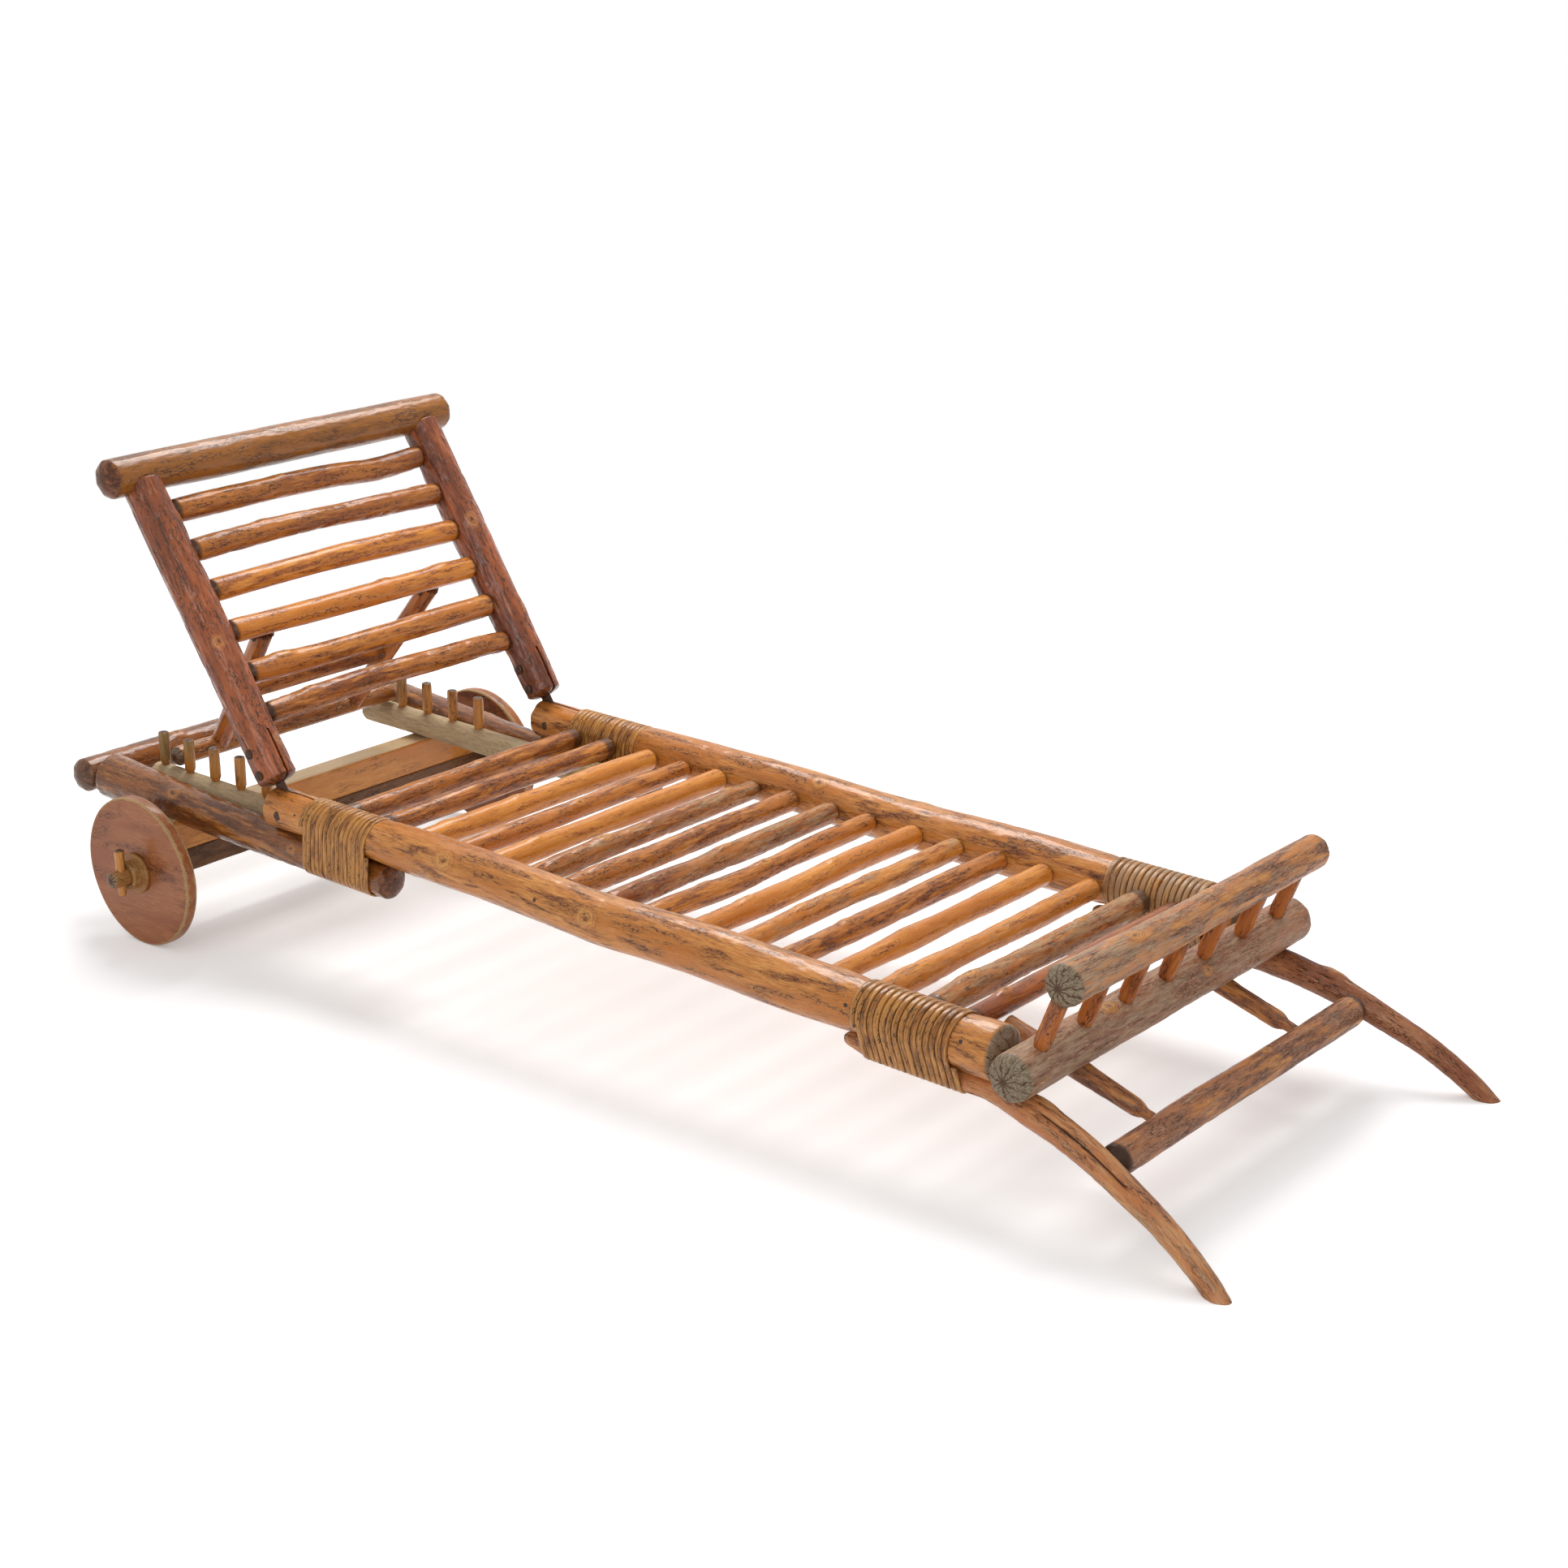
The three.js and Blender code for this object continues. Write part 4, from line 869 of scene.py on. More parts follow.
    def knot_rows(self) -> tuple[Row, ...]:
        """Gives the rows of the knots, with a dark heart and fine growth rings.

        Returns:
            The rows, the last one the colour so far.
        """
        return (
            *self.streaks("fray", 5, 9, 3, 29),
            ("frayed", Step.TIMES_PLUS, {0: "fray", 1: 0.7, 2: "marks/X"}),
            ("knot", Step.LESS, {0: "frayed", 1: 0.35}),
            ("pale heart", Step.RAMP, {0: "knot", 1: 0.2, 2: 0.7}),
            ("heart", Step.MIX, {0: "pale heart", **pair(*self.bare)}),
            ("pith", Step.RAMP, {0: "knot", 1: 0.9, 2: 1.05}),
            ("heart and pith", Step.MIX, {0: "pith", 6: "heart", 7: linear(self.fissure)}),
            ("knot edge", Step.RAMP, {0: "knot", 1: 0.05, 2: 0.7}),
            ("knot share", Step.SHARE, {0: "knot edge", 1: 0.6}),
            ("knotted", Step.MIX, {0: "knot share", 6: "worn", 7: "heart and pith"}),
            ("ring turns", Step.TIMES, {0: "knot", 1: 24.0}),
            ("ring waves", Step.WAVE, {0: "ring turns"}),
            ("ring lines", Step.RAMP, {0: "ring waves", 1: 0.1, 2: 0.9}),
            ("ring reach", Step.RAMP, {0: "knot", 1: 0.12, 2: 0.4}),
            ("rings", Step.SHARE, {0: "ring lines", 1: "ring reach"}),
            ("ring share", Step.SHARE, {0: "rings", 1: 0.4}),
            ("ringed", Step.MIX, {0: "ring share", 6: "knotted", 7: linear(self.fissure)}),
        )

    def cut_rows(self) -> tuple[Row, ...]:
        """Gives the rows of the cut ends, with drying cracks from the heart, and of grime and painted shade
        by joints.

        Returns:
            The rows, the last one the finished colour.
        """
        return (
            *self.streaks("end grain", 9, 9, 3, 31),
            ("end tone", Step.RAMP, {0: "end grain", 1: 0.35, 2: 0.65}),
            ("oiled end", Step.MIX, {0: "end tone", **pair(*self.end)}),
            ("silver tone", Step.RAMP, {0: "ridge", 1: 0.4, 2: 0.6}),
            ("silver end", Step.MIX, {0: "silver tone", **pair(*self.silver)}),
            ("end age", Step.RAMP, {0: "traits/Y", 1: 0.12, 2: 0.32}),
            ("plain end", Step.MIX, {0: "end age", 6: "oiled end", 7: "silver end"}),
            ("across", Step.PARTS, {"Vector": "place"}),
            ("angle", Step.ANGLE, {0: "across/Y", 1: "across/X"}),
            ("even spokes", Step.TIMES, {0: "angle", 1: 5.5}),
            *self.streaks("stray", 11, 400, 3, 41),
            ("strays", Step.TIMES, {0: "stray", 1: 5.0}),
            ("uneven spokes", Step.SUM, {0: "even spokes", 1: "strays"}),
            ("spoke waves", Step.WAVE, {0: "uneven spokes"}),
            ("off a spoke", Step.SIZE, {0: "spoke waves"}),
            ("flat place", Step.FLAT, {0: "across/X", 1: "across/Y"}),
            ("from the heart", Step.LENGTH, {0: "flat place"}),
            # Keeps a crack under a millimetre wide all the way out.
            ("narrowing", Step.TIMES, {0: "from the heart", 1: 105.0}),
            ("off a crack", Step.TIMES, {0: "off a spoke", 1: "narrowing"}),
            ("end cracks", Step.RAMP, {0: "off a crack", 1: 0.85, 2: 0.25}),
            ("cracked end", Step.MIX, {0: "end cracks", 6: "plain end", 7: linear(self.fissure)}),
            ("with ends", Step.MIX, {0: "traits/Z", 6: "ringed", 7: "cracked end"}),
            # Grime and painted shade: by joints, on slot walls and along the cane strands' edges.
            ("grime and shade", Step.RAMP, {0: "marks/Z", 1: 0.15, 2: 0.95}),
            ("colour", Step.MIX, {0: "grime and shade", 6: "with ends", 7: linear(self.soot_and_shade)}),
        )

    def surface_rows(self) -> tuple[Row, ...]:
        """Gives the rows of the gloss, the relief and the shader.

        Returns:
            The rows, the material's output last.
        """
        coat = {"Coat Weight": self.varnish, "Coat Roughness": 0.12}
        links = {"Base Color": "colour", "Roughness": "rough", "Normal": "bump"}
        return (
            ("matt cut", Step.SHARE, {0: "traits/Z", 1: 0.3}),
            ("matt scuffs", Step.SHARE, {0: "scuffs", 1: 0.5}),
            ("aged or cut", Step.MOST, {0: "aged", 1: "matt cut"}),
            ("dull", Step.MOST, {0: "aged or cut", 1: "matt scuffs"}),
            ("dullness", Step.SPREAD, {0: "dull", "To Min": self.gloss, "To Max": self.matt}),
            ("matt cracks", Step.SHARE, {0: "cracks", 1: 0.2}),
            ("rough", Step.CAPPED_SUM, {0: "dullness", 1: "matt cracks"}),
            ("crack depth", Step.SHARE, {0: "cracks", 1: 0.9}),
            ("between cracks", Step.REST, {0: 1.0, 1: "crack depth"}),
            ("fibre height", Step.SHARE, {0: "fibre", 1: 0.22}),
            ("with fibres", Step.SUM, {0: "between cracks", 1: "fibre height"}),
            ("ridge height", Step.SHARE, {0: "ridge", 1: 0.8}),
            ("with ridges", Step.SUM, {0: "with fibres", 1: "ridge height"}),
            ("planed", Step.SHARE, {0: "traits/Z", 1: 0.8}),
            ("uncut", Step.REST, {0: 1.0, 1: "planed"}),
            ("height", Step.TIMES, {0: "with ridges", 1: "uncut"}),
            ("bump", Step.BUMP, {"Height": "height", "Strength": 0.55, "Distance": self.relief * MM}),
            ("surface", Step.SURFACE, {**coat, "IOR": 1.45, "Specular IOR Level": 0.22, **links}),
            ("output", Step.OUTPUT, {"Surface": "surface"}),
        )

    def make(self) -> bpy.types.Material:
        """Makes the material.

        Returns:
            The new material.
        """
        wood = (*self.mark_rows(), *self.bark_rows(), *self.wear_rows(), *self.knot_rows())
        return new_material(self.name, (*wood, *self.cut_rows(), *self.surface_rows()))


@dataclass(frozen=True)
class CaneFinish(WoodFinish):
    """Split cane: a glossy orange-brown rind with fine fibres, and painted shade along its edges where
    strands meet.
    """

    name: str = "split cane, wound wet"
    bark: tuple[str, str] = ("935a28", "c08643")
    bare: tuple[str, str] = ("ae7030", "dba659")
    grey: tuple[str, str] = ("937458", "bc9b78")
    fissure: str = "432e12"
    ridge_width: float = 0.9
    ridge_length: float = 30.0
    flake_width: float = 5.0
    flake_length: float = 45.0
    fissure_share: float = 0.36
    relief: float = 0.15


@dataclass(frozen=True)
class SteelFinish:
    """Forged mild steel strap: dark scale with brown rust freckles about 5 mm across."""

    name: str = "forged steel, scaled and rusted"
    freckle: float = 1000 / 210
    scale: str = "3b3734"
    rust: str = "5f3a24"

    def make(self) -> bpy.types.Material:
        """Makes the material.

        Returns:
            The new material.
        """
        surface = {"Base Color": "colour", "Roughness": "rough", "Metallic": "metal", "Normal": "bump"}
        return new_material(self.name, (
            ("place", Step.OWN_PLACE, {}),
            ("freckle", Step.NOISE, {"Vector": "place", "Scale": 1 / (self.freckle * MM), "Detail": 4.0}),
            ("rusted", Step.SPREAD, {0: "freckle", 1: 0.42, 2: 0.62}),
            ("colour", Step.MIX, {0: "rusted", **pair(self.scale, self.rust)}),
            ("rough", Step.SPREAD, {0: "rusted", "To Min": 0.4, "To Max": 0.8}),
            ("metal", Step.SPREAD, {0: "rusted", "To Min": 0.9, "To Max": 0.1}),
            ("bump", Step.BUMP, {"Height": "freckle", "Strength": 0.4, "Distance": 0.3 * MM}),
            ("surface", Step.SURFACE, surface),
            ("output", Step.OUTPUT, {"Surface": "surface"}),
        ))


class Stock(Enum):
    """The finishes of the lounger's parts, each with what it gives the eye."""

    # Long brown ridges with dark cracks between them, and smooth amber flakes where they wore through.
    BARK = WoodFinish("hickory pole, bark on, varnished")

    # Deep red-brown ridges that run on up the post, with a wet gloss on their crowns.
    POST = WoodFinish(
        "hickory post, ridged bark, varnished", bark=("783a1c", "a8582c"), bare=("ac5c2c", "d48c50"),
        ridge_width=3.4, ridge_length=30.0, fissure_share=0.44, gloss=0.22, varnish=0.5, relief=0.9,
    )

    # Dark brown bark that is dull and grey where it was rubbed, with dark end cuts.
    HEAD = WoodFinish(
        "hickory pole, dark bark, varnished and rubbed grey on top", bark=("663a1c", "945826"),
        bare=("985a26", "c88440"), grey=("6e5a46", "9e8668"), end=("462414", "7c4a2a"),
        silver=("4a3626", "745c46"), ridge_width=2.6, ridge_length=34.0, gloss=0.24, varnish=0.4,
    )

    # A fine, even skin with few cracks, golden brown under the varnish.
    TOP_RAIL = WoodFinish(
        "hickory rail, fine bark, varnished", bark=("76481c", "9a6024"), bare=("92561e", "be7c30"),
        ridge_width=1.4, ridge_length=30.0, fissure_share=0.4, scuff_share=0.7, gloss=0.24,
    )

    # Patches of red-brown bark beside honey wood, with a gloss over both.
    SLAT = WoodFinish(
        "hickory slat, bark half peeled, varnished", bark=("8c4c1e", "b8702a"), bare=("b66826", "de9844"),
        flake_width=9.0, flake_length=60.0, gloss=0.3,
    )

    # Warm honey wood with thin red streaks under a clear gloss.
    AMBER = WoodFinish(
        "hickory slat, peeled, varnished", bark=("ae6224", "cf8234"), bare=("c87624", "e8a04a"),
        fissure="6e3c1c", ridge_width=1.6, flake_width=9.0, flake_length=60.0, fissure_share=0.37,
        gloss=0.28,
    )

    # Red-brown above and a dry tan towards the ground, with pale end cuts.
    LEG = WoodFinish(
        "hickory branch, weathered below", bark=("864a2c", "ac724c"), bare=("b87242", "dca66e"),
        grey=("a67e5e", "d6b48a"), end=("987c5c", "c2aa84"), gloss=0.38, matt=0.74, varnish=0.2,
    )

    # Matt grey-brown with amber showing through, and grey, cracked ends.
    WEATHERED = WoodFinish(
        "hickory pole, weathered", bark=("80503a", "a87252"), bare=("b87036", "dc9a52"),
        grey=("907660", "c0a486"), end=("645848", "8c7e68"), fissure="523a28", gloss=0.42, matt=0.76,
        varnish=0.12,
    )

    # Smooth orange-brown wood with a low relief and few cracks.
    PEELED = WoodFinish(
        "hickory pole, peeled, varnished", bark=("914e26", "b86c36"), bare=("b06228", "d68a42"),
        fissure_share=0.3, scuff_share=0.72, relief=0.25,
    )

    # Pale and dry, with hardly any shine.
    DUSTY = WoodFinish(
        "peeled pole under dust", bark=("a48c6a", "c2ae86"), bare=("bca880", "d8caa2"),
        grey=("a28c70", "ccb694"), end=("6a5540", "9a815f"), fissure="716441", fissure_share=0.3, gloss=0.6,
        matt=0.9, varnish=0.0, relief=0.25,
    )

    # Knife-cut golden facets with browner tips.
    PEG = WoodFinish(
        "whittled peg, varnished", bark=("a0602a", "c4823e"), bare=("b47232", "d69a50"),
        grey=("7c6540", "a48f5f"), end=("6c4a23", "b08544"), fissure_share=0.28, scuff_share=0.75,
        relief=0.25,
    )

    # Bright orange-brown with long straight grain and a thin gloss.
    BOARD = WoodFinish(
        "sawn pine board, varnished", bark=("b0682a", "d08a40"), bare=("c67c36", "e2a252"),
        grey=("b09d7b", "d4c39b"), fissure="7f511d", ridge_width=1.6, ridge_length=120.0,
        fissure_share=0.33, scuff_share=0.76, varnish=0.3, relief=0.2,
    )

    # Dark brown and dull, with long grain.
    AXLE = WoodFinish(
        "hewn oak beam, stained", bark=("583c28", "7c573a"), bare=("6e4a30", "926846"), ridge_width=2.0,
        ridge_length=60.0, gloss=0.45, varnish=0.1,
    )

    # Flat red-brown boards with long fine grain and a satin skin.
    WHEEL = WoodFinish(
        "sawn plank disc, stained red", bark=("763e20", "965632"), bare=("904f2a", "b07042"),
        grey=("977755", "c7a675"), fissure="4c2b17", ridge_width=1.3, ridge_length=90.0, flake_width=40.0,
        flake_length=120.0, fissure_share=0.33, gloss=0.36, scuff_share=0.74, varnish=0.2, relief=0.18,
    )

    # Dull golden brown, dry to the eye.
    HUB = WoodFinish(
        "turned washer, worn", bark=("80562e", "a67a44"), bare=("966636", "bc8e54"),
        end=("634523", "98713b"), fissure_share=0.34, gloss=0.5, varnish=0.1, relief=0.25,
    )

    # Warm orange-brown strands with fine fibres, and painted shade where two lie side by side.
    CANE = CaneFinish()

    # Nearly black, and brown where it rusted.
    STEEL = SteelFinish()


class Workshop:
    """Makes each finish once, and puts pieces on their bodies."""

    def __init__(self) -> None:
        """Starts with no finish made."""
        self.made: dict[Stock, bpy.types.Material] = {}

    def finish(self, stock: Stock) -> bpy.types.Material:
        """Gives a finish's material.

        Args:
            stock: Which finish.

        Returns:
            Its material, made at its first use.
        """
        if stock not in self.made:
            self.made[stock] = stock.value.make()
        return self.made[stock]

    def fit(
        self, name: str, shape: Shape, stocks: Sequence[Stock], body: str, slot: str,
        nodes: Sequence[str] = (),
    ) -> bpy.types.Object:
        """Makes a piece and seats it on its body.

        Args:
            name: The piece's name.
            shape: Its mesh.
            stocks: Its finishes.
            body: The body that it rides on.
            slot: The record's material slot; not used.
            nodes: The solids that it stands for.

        Returns:
            The new piece.
        """
        piece = make_piece(name, shape, [self.finish(stock) for stock in stocks])
        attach(piece, body)
        if nodes:
            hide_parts(*nodes)
        log.info("%s: %d points", name, len(piece.data.vertices))
        return piece

    def fit_stick(
        self, node: str, kind: str, stick: Stick, stock: Stock, body: str, slot: str
    ) -> bpy.types.Object:
        """Makes a piece that is one stick, and seats it in place of its solid.

        Args:
            node: The solid that it stands for, which also begins its name.
            kind: What it is, which ends its name.
            stick: Its sizes.
            stock: Its finish.
            body: The body that it rides on.
            slot: The record's material slot.

        Returns:
            The new piece.
        """
        return self.fit(f"{node}_{kind}", Timber(stick).build(), (stock,), body, slot, (node,))

    def dress_solid(self, node: str, stock: Stock, rounding: float) -> None:
        """Keeps a solid's own shape, with its edges eased and a better finish.

        Args:
            node: The solid's name.
            stock: Its finish.
            rounding: How far its edges are eased, in millimetres.
        """
        solid = frame["nodes"][node]
        solid.data.materials.clear()
        solid.data.materials.append(self.finish(stock))
        bevel = solid.modifiers.new("eased edges", "BEVEL")
        bevel.width, bevel.segments, bevel.limit_method = rounding * MM, 2, "ANGLE"
        bevel.angle_limit = math.radians(40)


def nail_head(place: np.ndarray, facing: np.ndarray, radius: float, height: float) -> Shape:
    """Makes a nail's domed head.

    Args:
        place: The middle of its underside, in metres.
        facing: The way that it faces.
        radius: Its radius in millimetres.
        height: How high it stands, in millimetres.

    Returns:
        The head's shape.
    """
    direction = unit(np.array(facing, float))
    path = np.array([place - direction * 2 * MM, place + direction * height * MM])
    plain = Character(lumps=0.15, bark=0.0, cracks=1)
    upright = abs(direction[2]) > 0.9
    stick = Stick(path, even(radius), 5, (0.5, height), plain, around=18, pitch=1.0, upright=upright)
    return Timber(stick).build()


@dataclass
class SeatDeck:
    """The two long seat rails, the slats between them and the end rung."""

    workshop: Workshop
    rail_y: float = 295.0
    rail_ends: tuple[float, float] = (-44.0, 1365.0)
    rail_radii: tuple[float, float] = (31.5, 37.0)
    rail_caps: tuple[float, float] = (12.0, 16.0)
    swells: tuple[tuple[float, float], ...] = (
        (0, 0.8), (0.05, 0.6), (0.065, 0), (0.176, 0), (0.2, 1.5), (0.27, 3), (0.45, 2.2), (0.6, 3.2),
        (0.76, 3), (0.82, 2), (0.835, 0), (0.955, 0), (0.97, 1.8), (1, 1.5),
    )
    slot_start: float = -60.0
    slot_end: float = 82.0
    slot_width: float = 4.6
    slot_floor: float = 12.0
    first_slat: float = 82.0
    slat_pitch: float = 80.0
    slat_radius: float = 17.0
    slat_half: float = 277.0
    tenon_radius: float = 10.5
    clear_half: float = 258.0
    beside_cane: tuple[int, ...] = (0, 1, 14)
    rung_radius: float = 16.0
    rung_half: float = 255.0
    rung_place: float = 1261.0
    peeled: tuple[int, ...] = (2, 4, 9, 10, 12, 13)
    shifts: tuple[float, ...] = (
        0, -0.04, 0.1, 0.05, -0.02, -0.11, -0.12, -0.11, -0.19, -0.07, -0.1, -0.1, -0.07, -0.01, 0,
    )
    girths: tuple[float, ...] = (
        1.04, 1, 1.08, 0.94, 1.02, 0.96, 1.05, 1, 0.93, 1.04, 0.98, 1.03, 0.97, 1.02, 1.1,
    )

    def slat_characters(self) -> tuple[Character, ...]:
        """Gives how each slat grew and wore, from the head to the foot.

        Returns:
            One character for each slat.
        """
        return (
            Character(1.6, 0.5, 4, 0.42, (0, 0.05), 0.7, ((0.55, 100, 8, 1.5),)),
            Character(1.6, 0.4, 4, 0.46, (0, 0.05), 0.7, ((0.62, 70, 9, 2),)),
            Character(1.8, 0.3, 5, 0.62, (0.1, 0.1), 0.7, ((0.4, 80, 9, 2), (0.13, 60, 8, 2))),
            Character(1.8, 0.4, 5, 0.52, (0.1, 0.1), 0.7, ((0.5, 120, 10, 3),)),
            Character(1.8, 0.3, 6, 0.66, (0.1, 0.05), 0.7, ((0.2, 90, 9, 2),)),
            Character(2.2, 1, 8, 0.36, (0.34, 0.42), 0.7, ((0.33, 95, 14, 5), (0.85, 80, 9, 3))),
            Character(1.8, 0.7, 5, 0.46, (0.25, 0.25), 0.7, ((0.7, 80, 9, 2),)),
            Character(1.8, 0.9, 5, 0.34, (0.34, 0.46), 0.7, ((0.5, 60, 17, 3),)),
            Character(2.2, 0.5, 8, 0.52, (0.15, 0.15), 0.7, ((0.27, 70, 11, 3), (0.5, 100, 13, 4))),
            Character(2, 0.4, 7, 0.6, (0.2, 0.2), 0.7, ((0.25, 80, 12, 3), (0.6, 90, 8, 2))),
            Character(2.2, 0.8, 6, 0.55, (0.35, 0.4), 0.7, ((0.3, 90, 10, 2), (0.6, 60, 14, 3))),
            Character(1.5, 0.4, 3, 0.5, (0.1, 0.1), 0.7, ((0.3, 80, 8, 1.5),)),
            Character(1.8, 0.5, 4, 0.64, (0.1, 0.15), 0.7, ((0.35, 70, 9, 2), (0.8, 80, 10, 2))),
            Character(2, 0.8, 5, 0.6, (0.3, 0.3), 0.7, ((0.4, 90, 10, 2), (0.14, 60, 9, 2))),
            Character(2.2, 1, 5, 0.45, (0.42, 0.5), 0.7, ((0.2, 70, 16, 4), (0.7, 90, 9, 2))),
        )

    def rail_radius(self, along: float) -> float:
        """Gives a seat rail's radius at a place along the deck."""
        return float(np.interp(along, self.rail_ends, self.rail_radii))

    def build_rails(self) -> None:
        """Builds the seat rails, with the slot sawn in each head end for its hinge strap."""
        knots = {
            "right": (
                (0.295, 150, 17, 4), (0.275, 205, 10, 2), (0.5, 160, 18, 3), (0.8, 60, 12, 2),
            ),
            "left": ((0.45, 120, 14, 3), (0.58, 70, 11, 2), (0.76, 30, 9, 3)),
        }
        for name, sign in SIDES:
            y = sign * self.rail_y
            path = np.array([DECK.at(along, y, 0) for along in self.rail_ends])
            girths = tuple(
                (share, np.interp(share, (0, 1), self.rail_radii) + swell)
                for share, swell in self.swells
            )
            bends = ((0.32, 2, 0), (0.5, -2, 2 * sign), (0.68, 1, 0))
            wear = Character(1.5, 0.5, 3, 0.57, (0, 0.26), 0, knots[name], bends)
            stick = Stick(path, girths, 1 if sign < 0 else 2, self.rail_caps, wear, around=76)
            node = f"seat_rail_{name}"
            piece = self.workshop.fit_stick(node, "pole", stick, Stock.BARK, "frame", "bark_pole")
            half = self.slot_width / 2
            start, end = self.slot_start, self.slot_end
            corners = [
                DECK.at(along, y + across, up)
                for up in (-self.slot_floor, self.rail_radii[1] + 6)
                for along, across in ((start, -half), (end, -half), (end, half), (start, half))
            ]
            saw_slot(piece, np.array(corners))

    def build_slats(self) -> None:
        """Builds the seat slats and the smooth end rung."""
        for i, wear in enumerate(self.slat_characters()):
            along = self.first_slat + self.slat_pitch * (i + self.shifts[i])
            radius = self.slat_radius * self.girths[i]
            half = self.clear_half if i in self.beside_cane else self.slat_half
            stock = Stock.AMBER if i in self.peeled else Stock.SLAT
            self.cross_stick(f"seat_slat_{i + 1:02d}", along, radius, half, wear, 20 + i, stock, "slat")
        smooth = Character(0.6, 0.1, 2, 0.35, (0.05, 0.1), 0.6, ((0.18, 90, 11, 5),))
        place, radius, half = self.rung_place, self.rung_radius, self.rung_half
        self.cross_stick("end_rung", place, radius, half, smooth, 40, Stock.PEELED, "peeled_pole")

    def cross_stick(
        self, node: str, along: float, radius: float, half: float, wear: Character, seed: int, stock: Stock,
        slot: str,
    ) -> None:
        """Builds one stick across the deck, whittled to a tenon at each end.

        Args:
            node: The solid that it stands for.
            along: Where it lies along the deck, in millimetres.
            radius: Its full radius.
            half: Half its length.
            wear: How it grew and wore.
            seed: Which grain.
            stock: Its finish.
            slot: Its material slot.
        """
        path = DECK.crossing(along, half, 0)
        neck = (half - self.clear_half) / (2 * half)
        full = neck + 0.016
        girths = (
            (0, self.tenon_radius), (neck, self.tenon_radius + 1), (neck + 0.005, radius * 0.88),
            (full, radius * 0.99), (0.3, radius * 1.03), (0.5, radius * 0.97), (0.72, radius * 1.03),
            (1 - full, radius * 0.99), (1 - neck - 0.005, radius * 0.88), (1 - neck, self.tenon_radius + 1),
            (1, self.tenon_radius),
        )
        stick = Stick(path, girths, seed, (1, 1), wear, around=36)
        self.workshop.fit_stick(node, "stick", stick, stock, "frame", slot)

    def build(self) -> None:
        """Builds the whole deck."""
        self.build_rails()
        self.build_slats()


